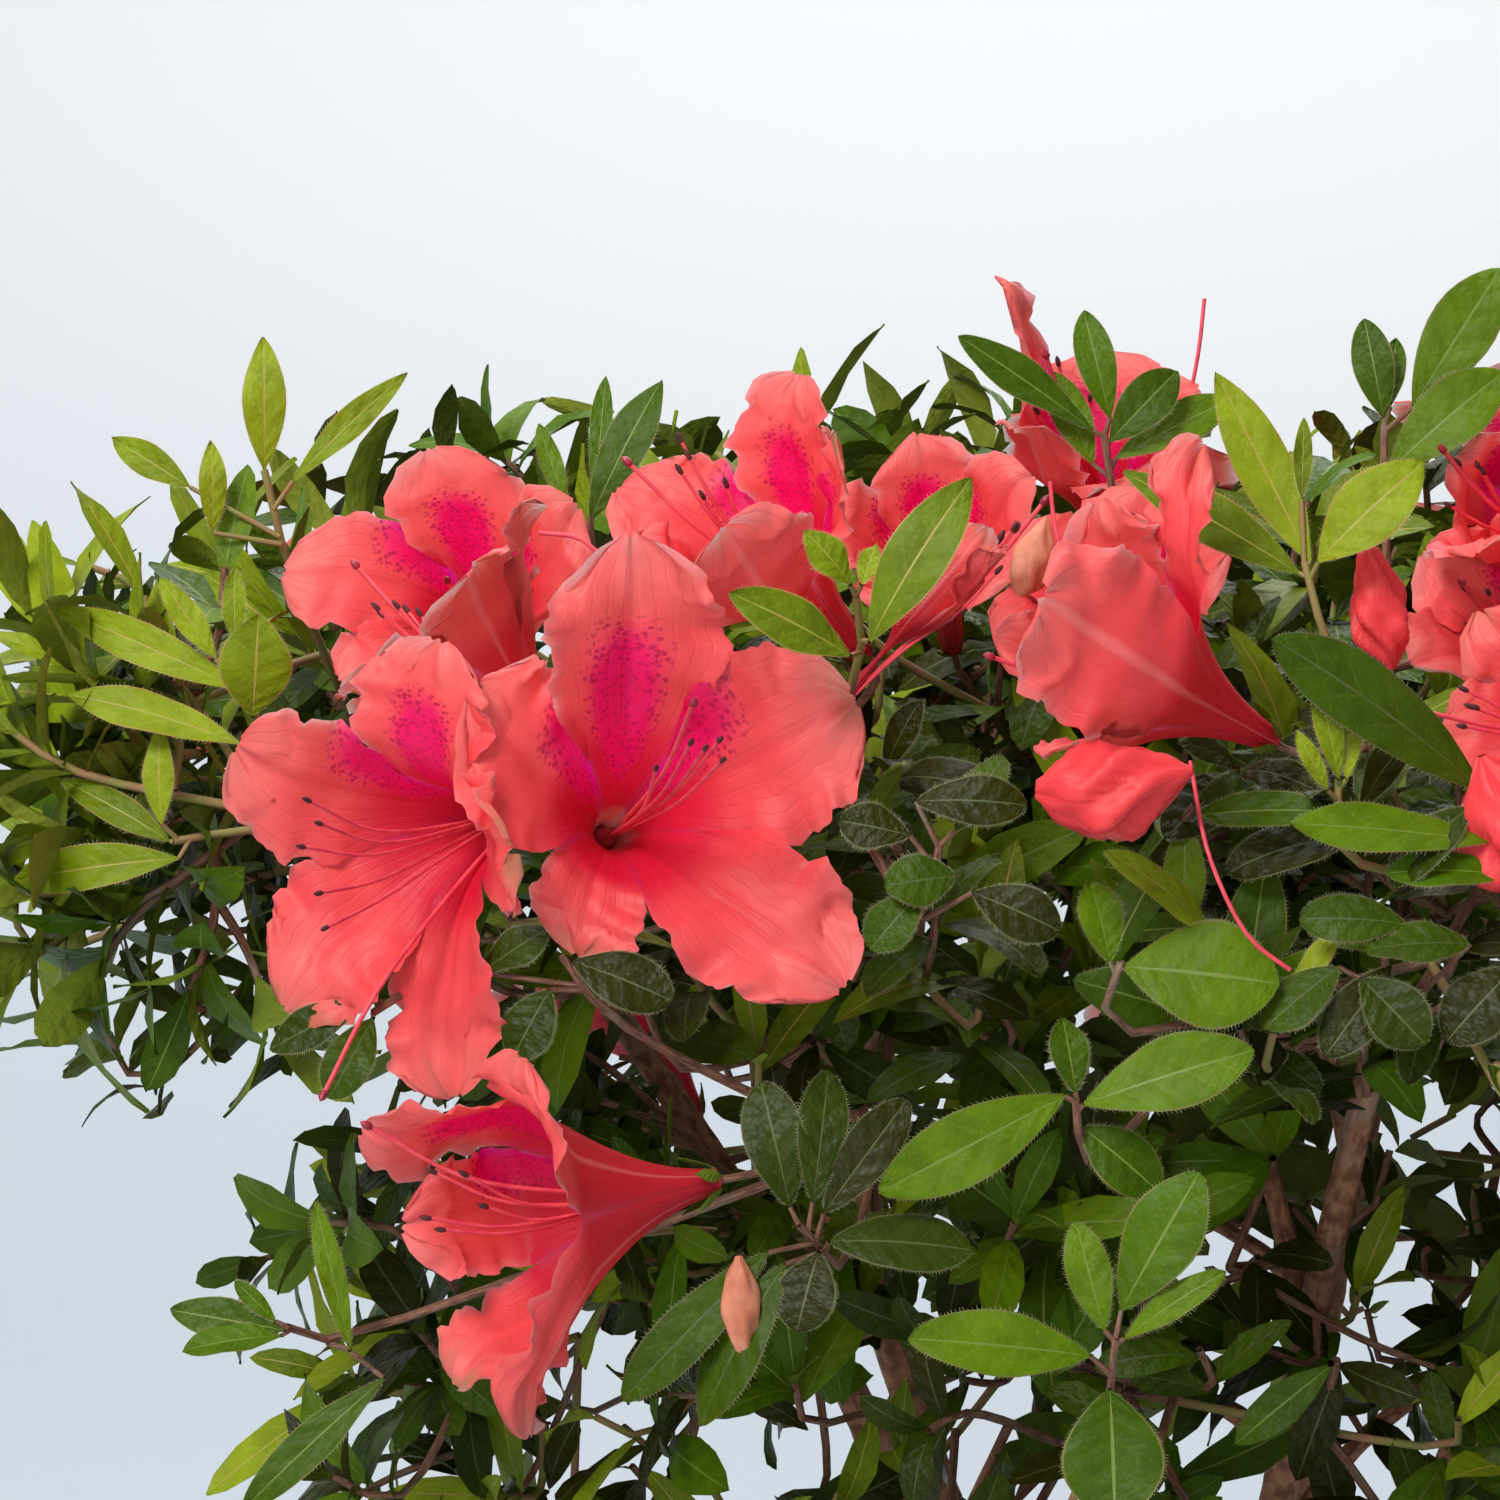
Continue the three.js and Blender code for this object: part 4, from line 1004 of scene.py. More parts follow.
def grow_edge_shoot(kind, place, way, plant, chance):
    """A shoot with a place and way of its own, whose leaves come from the rule."""
    bud = seen_at(*place)
    facing = unit(np.array([way[0], 0, 0]) + VIEW_UP * way[1] - VIEW_AHEAD * chance.uniform(-0.1, 0.4))
    mass = nearest_mass(bud, plant.masses)
    leaves = whorl(bud, facing, chance.rand, kind, 6 + chance.randint(3), **WHORLS["edge"])
    leaves = [leaf for leaf in leaves if clear_of_blooms(leaf, plant)]
    leaves = [leaf for leaf in leaves if keeps_views_open(leaf.outline(), plant.views)]
    grow_twig(bud, facing, mass, plant, young=kind == "young", front=True)
    mass.shoots.append(Shoot(bud, leaves))


def keep_front_clear(plant):
    """Seeded leaves stay out of the camera's way to the blooms, buds and shoots in front."""
    views = []
    for bloom in plant.blooms:
        if bloom.front is not None:
            right, up, back = seen_as(bloom.mouth - bloom.facing * 8)
            views.append((right, up, bloom.radius * 1.02, back + 4))
    for foot, tip, radius, *_ in BUDS:
        views.append(((foot[0] + tip[0]) / 2, (foot[1] + tip[1]) / 2, radius * 1.6, foot[2]))
    for *_, rows in SPRIGS:
        for root_right, root_up, tip_right, tip_up, back, lean_back, width in rows:
            for share in (0.35, 0.8):
                right = root_right + (tip_right - root_right) * share
                up = root_up + (tip_up - root_up) * share
                views.append((right, up, 2 + width * 0.5, back + lean_back * share))
    plant.views = np.concatenate([plant.views, np.array(views)])


def grow_mass(mass, plant):
    """The twigs to a mass's blooms, then its seeded shoots."""
    for bloom in mass.blooms:
        end = bloom.base + bloom.facing * BLOOM["sunk"]
        bloom.grown = grow_twig(end, bloom.facing, mass, plant, bloom, front=bloom.front is not None)
        if bloom.grown:
            mass.twigs[-1].points[-1] = bloom.base + bloom.facing * 0.5
    buds = [shoot.bud for shoot in mass.shoots]
    tries = 0
    while tries < SHOOT_PLACES["tries"] and len(mass.shoots) < mass.tier["shoots"]:
        tries += 1
        bud = place_in_mass(mass, SHOOT_PLACES)
        facing = outward_facing(bud, mass.draw, SHOOT_PLACES)
        if far_from_all(bud, buds, SHOOT_PLACES["gap"]) and mass.holds(bud[None], 4):
            leaves = seeded_leaves(bud, facing, mass, mass.draw)
            if grow_shoot(bud, facing, leaves, mass, plant):
                buds.append(bud)


# Leaves as meshes

FINE_LEAF = {"rows": 15, "columns": (-1, -0.95, -0.5, -0.035, 0.035, 0.5, 0.95, 1)}
PLAIN_LEAF = {"rows": 7, "columns": (-1, -0.045, 0.045, 1)}
HAIRS = {"each_side": 52, "from": 0.06, "to": 0.97, "length": (0.3, 0.75), "width": 0.055}


def leaf_sheets(leaves, grid):
    """Upper faces and undersides of many leaves at once, as (leaf, row, column, place)."""
    shapes = np.array([leaf.shape for leaf in leaves])
    length, width, belly, point, bend, fold, wave = (shapes[:, i, None, None] for i in range(7))
    even = np.linspace(0, 1, grid["rows"])
    v = (0.3 * even + 0.35 * (1 - np.cos(math.pi * even)))[None, :, None]
    u = np.array(grid["columns"])[None, None, :]
    phase = np.array([leaf.tint for leaf in leaves])[:, None, None] * 12.9
    half = np.sin(math.pi * v ** (math.log(0.5) / np.log(belly))) ** point
    half = np.maximum(half, np.where(v < 0.5, 0.07, 0.02)) * width / 2
    angle = bend * (v - 0.25) * 1.6
    step = length * np.diff(v, axis=1, prepend=0)
    x = np.cumsum(np.cos(angle) * step, axis=1)
    z = -np.cumsum(np.sin(angle) * step, axis=1)
    twist = (v - 0.4) * (np.sin(phase * 3.1) * 0.55)
    y = u * half
    lift = np.abs(y) * fold - np.abs(u) ** 3 * half * 0.1
    lift = lift + wave * np.abs(u) ** 2 * np.sin(v * 11 + phase + u * 1.4) * smooth_step(0.1, 0.4, v)
    across, upward = turned_pair(y, lift, twist)
    places = np.broadcast_arrays(x + upward * np.sin(angle), across, z + upward * np.cos(angle))
    local = np.stack(places, axis=-1)
    axes = np.array([leaf.axes for leaf in leaves])
    roots = np.array([leaf.root for leaf in leaves])[:, None, None]
    upper = np.einsum("nrca,nab->nrcb", local, axes) + roots
    thick = (1 - np.abs(u) ** 4) * LEAF_THICKNESS["middle"] + LEAF_THICKNESS["edge"]
    under = upper - axes[:, None, None, 2] * thick[..., None]
    return upper, under


def add_leaves(piece, leaves, grid, tints):
    """The piece's materials are the tints of the blades, then those of ribs, margins and undersides."""
    rows, columns = grid["rows"], len(grid["columns"])
    quads = grid_quads(rows, columns)
    strips = columns - 1
    strip = np.tile(np.arange(strips), rows - 1)
    upper, under = leaf_sheets(leaves, grid)
    count = len(leaves)
    u = (np.array(grid["columns"]) + 1) / 2
    uvs = np.stack(np.meshgrid(u, np.linspace(0, 1, rows)), axis=-1).reshape(-1, 2)
    tint = np.array([min(int(leaf.tint * tints), tints - 1) for leaf in leaves])
    slots = np.where(strip == strips // 2, tints, -1)
    if grid is FINE_LEAF:
        slots = np.where((strip == 0) | (strip == strips - 1), tints + 1, slots)
    slots = np.where(slots[None] < 0, tint[:, None], slots[None])
    offsets = (np.arange(count) * rows * columns)[:, None, None]
    for sheet, faces, own_slots in ((upper, turned_over(quads), slots.ravel()), (under, quads, tints + 2)):
        faces = (faces[None] + offsets).reshape(-1, 4)
        piece.add(sheet.reshape(-1, 3), faces, own_slots, np.tile(uvs, (count, 1)))


def add_hairs(piece, leaves, grid, chance):
    """Short pale hairs that stand out from both margins."""
    upper = leaf_sheets(leaves, grid)[0]
    share = np.linspace(HAIRS["from"], HAIRS["to"], HAIRS["each_side"]) * (grid["rows"] - 1)
    before = share.astype(int)
    part = (share - before)[None, :, None]
    for margin, inner in ((0, 2), (-1, -3)):
        edge = upper[:, :, margin]
        way = edge - upper[:, :, inner]
        roots = edge[:, before] * (1 - part) + edge[:, before + 1] * part
        ways = way[:, before] * (1 - part) + way[:, before + 1] * part
        ways = ways / np.maximum(np.linalg.norm(ways, axis=-1), 1e-6)[..., None]
        ahead = edge[:, before + 1] - edge[:, before]
        ahead = ahead / np.maximum(np.linalg.norm(ahead, axis=-1), 1e-6)[..., None]
        length = chance.uniform(*HAIRS["length"], ways.shape[:2])[..., None]
        tips = roots + (ways + ahead * 0.5 + chance.normal(0, 0.2, ways.shape)) * length
        wide = ahead * HAIRS["width"] / 2
        corners = [roots - wide, roots + wide, tips + wide * 0.3, tips - wide * 0.3]
        places = np.stack(corners, axis=2).reshape(-1, 3)
        piece.add(places, np.arange(len(places)).reshape(-1, 4), 0, np.zeros((len(places), 2)))


# Tubes: limbs, twigs, filaments

def frames_along(points):
    """Two directions across the line at each point, turned as little as possible."""
    ahead = np.gradient(points, axis=0)
    ahead /= np.linalg.norm(ahead, axis=1)[:, None]
    across = np.array([0.0, 0, 1]) if abs(ahead[0][2]) < 0.9 else np.array([1.0, 0, 0])
    firsts = []
    for way in ahead:
        across = unit(across - way * np.dot(across, way))
        firsts.append(across)
    firsts = np.array(firsts)
    return firsts, np.cross(ahead, firsts)


def add_tube(piece, points, radii, sides, slot, relief=None, **marks):
    """A tube along the points. Relief is added to its radii, for each point and side."""
    first, second = frames_along(points)
    around = angles_around(sides)[None, :, None]
    ring = first[:, None] * np.cos(around) + second[:, None] * np.sin(around)
    reach = np.asarray(radii)[:, None] * np.ones(sides)[None]
    if relief is not None:
        reach = reach + relief
    places = points[:, None] + ring * reach[..., None]
    quads = grid_quads(len(points), sides, around=True)
    piece.add(places.reshape(-1, 3), quads, slot, ring_uvs(points, sides), **marks)


def smooth_path(points, steps):
    curve = Curve(points, 24)
    return np.array([curve.at(share) for share in np.linspace(0, 1, steps)])


def add_limb(piece, limb, sides, spacing, seed):
    """A limb with bark relief: long ridges, raised joints, and a collar where it leaves its parent."""
    chance = np.random.RandomState(seed)
    count = max(8, int(limb.curve.length / spacing))
    share = np.linspace(0, 1, count)
    points = np.array([limb.curve.at(value) for value in share])
    radii = np.array([float(limb.radius_at(value)) for value in share])
    along = share * limb.curve.length
    if limb.name != "trunk":
        radii = radii * (1 + BARK["collar"] * np.exp(-along / BARK["collar_length"]))
    for knot in np.cumsum(chance.uniform(*BARK["knot_gap"], BARK["knots"])):
        radii = radii + BARK["knot"] * radii * np.exp(-((along - knot) / BARK["knot_length"]) ** 2)
    around = angles_around(sides)
    relief = np.zeros((count, sides))
    for _ in range(BARK["waves"]):
        turns = chance.randint(2, 7)
        drift = chance.uniform(-0.03, 0.03)
        swell = 0.5 + 0.5 * np.sin(along * chance.uniform(0.05, 0.2) + chance.rand() * 6)
        relief += np.sin(around[None] * turns + along[:, None] * drift + chance.rand() * 6) * swell[:, None]
    relief += chance.normal(0, 0.5, relief.shape)
    relief *= radii[:, None] * BARK["relief"]
    if limb.name == "trunk":
        relief *= BARK["trunk_relief"]
        radii[-3:] *= np.array([0.93, 0.75, 0.3])
    add_tube(piece, points, radii, sides, 0, relief)


def add_twig(piece, twig):
    points = smooth_path(twig.points, 9 if len(twig.points) > 2 else 5)
    radii = np.linspace(twig.base, twig.tip, len(points))
    add_tube(piece, points, radii, 6, 1 if twig.young else 0)


# Blooms

class Lobe:
    """One of a bloom's five lobes: its tip in the bloom's own frame, and how it is bent and worn.

    Slope is the lobe's angle to the bloom's axis at the tip, so 90 is flat and more is curled back. Split is
    the radius and height where it parts from its neighbours, and it stands there at an angle round the axis.
    """

    def __init__(self, tip, slope, half, ruffle, fold, twist, worn, phase, split, stands):
        self.stands = stands
        self.leans = signed_angle(math.atan2(tip[1], tip[0]) - stands)
        self.tip = np.array([math.hypot(tip[0], tip[1]), tip[2]])
        self.slope, self.half, self.ruffle = math.radians(slope), half, ruffle
        self.fold, self.twist, self.worn, self.phase = fold, twist, worn, phase
        self.split = np.array(split, float)

    def midline(self):
        """The line from foot to tip: where the lobe parts, then lengths, radii, heights and slopes."""
        foot = np.array([FUNNEL["foot"], -BLOOM["depth"]])
        lead_out, lead_in, lead_tip = (
            np.array([math.sin(slope), math.cos(slope)]) * FUNNEL["fullness"]
            for slope in (math.radians(FUNNEL["foot_slope"]), math.radians(FUNNEL["slope"]), self.slope))
        low, high = np.linalg.norm(self.split - foot), np.linalg.norm(self.tip - self.split)
        funnel = cubic(foot, foot + low * lead_out, self.split - low * lead_in, self.split, 100)
        blade = cubic(self.split, self.split + high * lead_in, self.tip - high * lead_tip, self.tip, 141)
        line = np.concatenate([funnel, blade[1:]])
        ways = np.gradient(line, axis=0)
        lengths = lengths_along(line)
        parted = lengths[len(funnel) - 1] / lengths[-1]
        slopes = np.unwrap(np.arctan2(ways[:, 0], ways[:, 1]))
        return parted, lengths / lengths[-1], line[:, 0], line[:, 1], slopes

    def sheet(self, rows, columns):
        """Places by row and column, how far out and how far aside each is, and how far along each row is."""
        parted, lengths, radii, heights, slopes = self.midline()
        at = 1 - (1 - np.linspace(0, 1, rows)) ** 1.15
        t = np.clip((at - parted) / (1 - parted), 0, 1)[:, None]
        u = np.linspace(-1, 1, columns)[None, :]
        side_phase = self.phase + 2.1 * np.sign(u)
        narrowed = np.sqrt(1 - 0.98 * np.clip((t - 0.6) / 0.4, 0, 1) ** 2.6)
        notch = 0.07 * np.sin(u * 3.6 + self.phase) ** 2 + 0.025 * np.sin(u * 12 + self.phase * 2) ** 2
        reached = at[:, None] * (1 - smooth_step(0.55, 0.9, t) * notch * narrowed)
        r, z, slope = (np.interp(reached, lengths, values) for values in (radii, heights, slopes))
        strip = math.pi / 5 * 1.04
        throat = strip * self.split[0]
        half = throat + (self.half - throat) * np.sin(0.5 * math.pi * np.clip(t / 0.5, 0, 1))
        half = half * narrowed
        nibbles = 0.05 * np.sin(t * 15 + side_phase) + 0.04 * np.sin(t * 31 + side_phase * 2)
        nibbles = nibbles + 0.025 * np.sin(t * 67 + side_phase * 3)
        half = np.where(t > 0, half * (1 + smooth_step(0.1, 0.45, t) * nibbles), strip * r)
        bow = r * (1 + 2.6 * t)
        turn = np.clip(u * half / bow, -1.3, 1.3)
        edge = np.abs(u) ** 1.8 * smooth_step(0.08, 0.45, t)
        wave = edge * (0.9 * np.sin(t * 8 + side_phase) + 0.75 * np.sin(t * 20 + side_phase * 1.7))
        wave = wave + 0.42 * np.abs(u) ** 4 * smooth_step(0.15, 0.5, t) * np.sin(t * 44 + side_phase * 3)
        tip_wave = 0.6 * np.sin(u * 4.5 + self.phase) + 0.3 * np.sin(u * 11 + self.phase)
        wave = wave + smooth_step(0.7, 1, t) * tip_wave
        wave = wave * (0.1 + 0.9 * narrowed)
        dents = np.sin(t * 9 + u * 2.5 + self.phase) * np.sin(u * 5.5 - t * 6 + self.phase * 2)
        wave = wave + 0.3 * dents * smooth_step(0.05, 0.3, t)
        aside = bow * np.sin(turn)
        folded = np.abs(u) * half * self.fold * smooth_step(0, 0.4, t)
        parting = smooth_step(0, 0.3, t)
        inward = bow * (1 - np.cos(turn)) + folded + self.ruffle * wave
        inward = inward + 0.6 * u * parting - 0.55 * parting * np.exp(-(u / 0.12) ** 2)
        aside, inward = turned_pair(aside, inward, self.twist * t ** 1.5)
        out = r - np.cos(slope) * inward
        x, y = turned_pair(out, aside, self.stands + self.leans * t ** 1.1)
        places = np.stack([x, y, z + np.sin(slope) * inward], axis=-1)
        return places, np.broadcast_to(t, places.shape[:2]), np.broadcast_to(u, places.shape[:2]), at


def seeded_lobes(chance, radius, closed=0.0):
    """The lobes, the top one first, then round to the left. Their reach follows the radius of the mouth."""
    lobes = []
    for i in range(LOBES):
        angle = math.radians(90 + 72 * i + chance.uniform(-6, 6))
        reach = radius * chance.uniform(0.86, 1.02) * (1 - 0.8 * closed)
        opened = radius / 36 * (1 - 0.5 * closed)
        rise = chance.uniform(-5, 5) + 6 * closed
        tip = np.array([math.cos(angle) * reach, math.sin(angle) * reach, rise])
        slope = chance.uniform(80, 125) * (1 - 0.7 * closed)
        half = radius * chance.uniform(0.4, 0.47) * (1 - 0.4 * closed)
        ruffle, fold, twist = (chance.uniform(*span) for span in ((0.9, 1.7), (-0.1, 0.14), (-0.35, 0.35)))
        worn, phase = max(0, chance.uniform(-1.2, 0.8)), chance.uniform(0, 6.28)
        split, stands = (FUNNEL["radius"] * opened, FUNNEL["height"]), math.radians(90 + 72 * i)
        lobes.append(Lobe(tip, slope, half, ruffle, fold, twist, worn, phase, split, stands))
    return lobes


def sheet_normals(places):
    down = np.gradient(places, axis=0)
    over = np.gradient(places, axis=1)
    normals = np.cross(down, over)
    return normals / np.maximum(np.linalg.norm(normals, axis=-1), 1e-9)[..., None]


def blotch_strength(index, along, tau, u):
    """Where the flare of the top lobe and the near halves of its neighbours lies."""
    lengthwise = smooth_step(0.24, 0.5, along)[:, None] * (1 - smooth_step(0.3, 0.8, tau))
    if index == 0:
        return lengthwise * (1 - smooth_step(0.02, 0.7, np.abs(u - 0.08)))
    if index in (1, 4):
        near = u * (-1 if index == 1 else 1)
        return 0.75 * lengthwise * (1 - smooth_step(0.3, 0.6, tau)) * smooth_step(-0.1, 0.75, near)
    return np.zeros_like(tau)


def bloom_axes(facing, roll):
    upward = np.array([0, 0, 1.0]) if abs(facing[2]) < 0.97 else np.array([0, 1.0, 0])
    top = unit(upward - facing * np.dot(upward, facing))
    side = np.cross(top, facing)
    turned = top * math.cos(roll) + side * math.sin(roll)
    return np.array([np.cross(turned, facing), turned, facing])


def add_petals(piece, bloom, axes, lobes, rows, columns, flare=1):
    """Each lobe with its strip of the tube, as an inner and an outer sheet."""
    quads = grid_quads(rows, columns)
    for index, lobe in enumerate(lobes):
        local, tau, u, along = lobe.sheet(rows, columns)
        uvs = np.stack([(u + 1) / 2, np.broadcast_to(along[:, None], tau.shape)], axis=-1)
        rim = smooth_step(0.86, 1, np.maximum(np.abs(u) * tau ** 0.3, tau))
        blotch = flare * blotch_strength(index, along, tau, u)
        marks = {"blotch": blotch.ravel(), "far": tau.ravel(), "tan": (lobe.worn * rim).ravel()}
        normals = sheet_normals(local)
        thin = (1 - np.abs(u[..., None]) ** 6) * (1 - tau[..., None] ** 14)
        for side, faces, slot in ((1, turned_over(quads), 0), (-1, quads, 1)):
            places = (local + normals * (side * PETAL_HALF_THICKNESS) * thin).reshape(-1, 3)
            piece.add(places @ axes + bloom.mouth, faces, slot, uvs.reshape(-1, 2), **marks)


def add_stamens(piece, bloom, axes, ends):
    """The ovary, then filaments with anthers and last the style, each to its end in the bloom's own frame."""
    ovary = np.array([(0, 0, height) for height in OVARY["heights"]])
    add_tube(piece, ovary @ axes + bloom.mouth, OVARY["radii"], 8, 0)
    for i, end in enumerate(ends):
        slot, sizes = (2, STIGMA) if i == LOBES else (1, ANTHER)
        start = np.array([0.4 * (i - 2), -0.5, -37.0])
        low = np.array([end[0] * 0.16, end[1] * 0.16 - 1.5, -20.0])
        middle = np.array([end[0] * 0.55, end[1] * 0.55 - 2.5, -20 + (end[2] + 20) * 0.6])
        path = smooth_path([start, low, middle, end], 14)
        add_tube(piece, path @ axes + bloom.mouth, np.full(14, sizes["thread"]), 5, 0)
        ahead = unit(path[-1] - path[-2])
        head = np.array([path[-1] + ahead * gap for gap in HEAD_GAPS])
        add_tube(piece, head @ axes + bloom.mouth, sizes["head"], 6, slot)


def seeded_stamens(chance, radius):
    """Stamens lean down and then curve up to the light, the style furthest."""
    ends = []
    for i in range(LOBES + 1):
        style = i == LOBES
        reach = 17 if style else chance.uniform(2, 11)
        aside = (0 if style else (i - 2) * 2.4) + chance.uniform(-2, 2)
        ends.append(np.array([aside, -radius * chance.uniform(0.08, 0.4), reach]))
    return ends


def add_bud(piece, foot, tip, radius, slot, wind, chance):
    """A closed bud or a withered bloom: a spindle with folds that wind round it."""
    rows, sides = 26, 30
    share = np.linspace(0, 1, rows)
    sag = np.array([0, 0, -1.0]) * np.sin(math.pi * share)[:, None] * np.linalg.norm(tip - foot) * 0.06
    points = foot + (tip - foot) * share[:, None] + sag
    radii = radius * np.sin(math.pi * np.clip(share, 0.02, 0.985) ** 0.85) ** 0.8
    around = angles_around(sides)[None] + wind * 3 * share[:, None]
    folds = 0.7 * np.abs(np.sin(around * 2.5 + 1)) + 0.3 * np.sin(around * 6 + share[:, None] * 7)
    folds = folds + 0.2 * np.sin(around * 3 - share[:, None] * 16) + chance.normal(0, 0.04, (rows, sides))
    faded = slot == 2
    relief = (folds - 0.4) * radii[:, None] * (0.24 if faded else 0.5)
    add_tube(piece, points, radii, sides, slot, relief, far=0.4)


def calyx_leaves(bloom, chance):
    leaves = []
    axes = bloom_axes(bloom.facing, 0)
    for i in range(LOBES):
        around = 2 * math.pi * (i + 0.5) / LOBES
        outward = axes[0] * math.cos(around) + axes[1] * math.sin(around)
        along = unit(bloom.facing + outward * chance.uniform(0.6, 0.85))
        shape = [chance.uniform(5, 8), 2.8, 0.42, 0.9, -0.2, 0.25, 0.1]
        root = bloom.base - bloom.facing * 0.5 + outward * 1.9
        leaves.append(Leaf(root, along, -outward, "middle", shape, chance.rand()))
    return leaves


# Pot and potting mix

def outer_radius(z):
    return POT["foot"] + (POT["top"] - POT["rim_step"] - POT["foot"]) * z / POT["height"]


def lathe(profile, sides):
    """Places, faces and UVs of a profile of radii and heights that is turned about the upright axis."""
    profile = np.array(profile, float)
    around = angles_around(sides)
    radius, height = profile[:, 0, None], profile[:, 1, None]
    places = np.broadcast_arrays(radius * np.cos(around), radius * np.sin(around), height)
    quads = grid_quads(len(profile), sides, around=True)
    return np.stack(places, axis=-1).reshape(-1, 3), quads, ring_uvs(profile, sides)


def rounded(profile, radius, steps=4):
    """A profile with each inner corner replaced by a small arc."""
    points = [np.array(point, float) for point in profile]
    out = [points[0]]
    for before, corner, after in zip(points, points[1:], points[2:]):
        cut = min(radius, np.linalg.norm(before - corner) * 0.45, np.linalg.norm(after - corner) * 0.45)
        start = corner + unit(before - corner) * cut
        end = corner + unit(after - corner) * cut
        for share in np.linspace(0, 1, steps):
            out.append((1 - share) ** 2 * start + 2 * share * (1 - share) * corner + share ** 2 * end)
    out.append(points[-1])
    return out


def build_pot(material):
    """The pot from the middle of its underside, up the outside, over the rim and down into the mix."""
    foot, top, height = POT["foot"], POT["top"], POT["height"]
    rim_foot = height - POT["rim_depth"]
    underside = [(0.5, 0.4), (foot - 8, 0.4), (foot - 7, 0), (foot, 0)]
    outside = [(outer_radius(rim_foot) - 0.2, rim_foot), (top - 0.2, rim_foot + 1), (top, height - 4)]
    rim = [(top, height), (top - 5, height)]
    inside = [(outer_radius(z) - POT["wall"], z) for z in (height - 5, rim_foot, MIX_BOTTOM)]
    piece = Piece("pot_moulded", [material])
    places, quads, uvs = lathe(rounded(underside + outside + rim + inside, 1.6), 144)
    piece.add(places, quads, 0, uvs)
    piece.build("pot", ["pot"])


def build_mix(soil, chips):
    """The mix's uneven top with flat chips of bark and peat lying on it."""
    chance = np.random.RandomState(5)
    edge, low_edge = (outer_radius(z) - POT["wall"] - CLEARANCE for z in (SOIL_TOP, MIX_BOTTOM))
    radii = np.concatenate([[0.5], np.linspace(4, edge - 1, 46)])
    profile = [(r, SOIL_TOP) for r in radii] + [(edge, SOIL_TOP - 2), (low_edge, MIX_BOTTOM)]
    places, quads, uvs = lathe(profile, 160)
    flat = places[:, 2] == SOIL_TOP
    x, y = places[:, 0], places[:, 1]
    heap = 0.8 * np.sin(x * 0.13 + 1) * np.cos(y * 0.11)
    heap = heap + 0.5 * np.sin(x * 0.41 + y * 0.3) + 0.5 * np.cos(y * 0.52 - x * 0.2)
    places[:, 2] += np.where(flat, heap - 0.9 + chance.normal(0, 0.25, len(places)), 0)
    piece = Piece("potting_mix_surface", [soil, *chips])
    piece.add(places, turned_over(quads), 0, uvs)
    corners = np.array([(x, y, z) for x in (-1, 1) for y in (-1, 1) for z in (-1, 1)], float)
    faces = np.array([(0, 1, 3, 2), (4, 6, 7, 5), (0, 4, 5, 1), (2, 3, 7, 6), (0, 2, 6, 4), (1, 5, 7, 3)])
    for _ in range(MIX_CHIPS["count"]):
        away = math.sqrt(chance.uniform(18 ** 2, (edge - 5) ** 2))
        around = chance.uniform(0, 2 * math.pi)
        size = np.array([chance.uniform(*MIX_CHIPS[way]) for way in ("length", "width", "thickness")])
        shape = corners * size * chance.uniform(0.6, 1.15, corners.shape)
        heading = Matrix.Rotation(chance.uniform(0, 6.28), 3, "Z")
        tilt = np.array(heading @ Matrix.Rotation(chance.uniform(-0.4, 0.4), 3, "X"))
        middle = [away * math.cos(around), away * math.sin(around), SOIL_TOP + chance.uniform(-0.6, 1.2)]
        piece.add(shape @ tilt.T + middle, faces, 1 + chance.randint(len(chips)), corners[:, :2] * 0.5 + 0.5)
    piece.build("potting_mix", ["potting_mix"])


# Materials

def tone(red, green, blue):
    """A colour given as it shows on screen, from 0 to 255."""
    linear = []
    for value in (red, green, blue):
        share = value / 255
        linear.append(share / 12.92 if share < 0.04045 else ((share + 0.055) / 1.055) ** 2.4)
    return (*linear, 1.0)


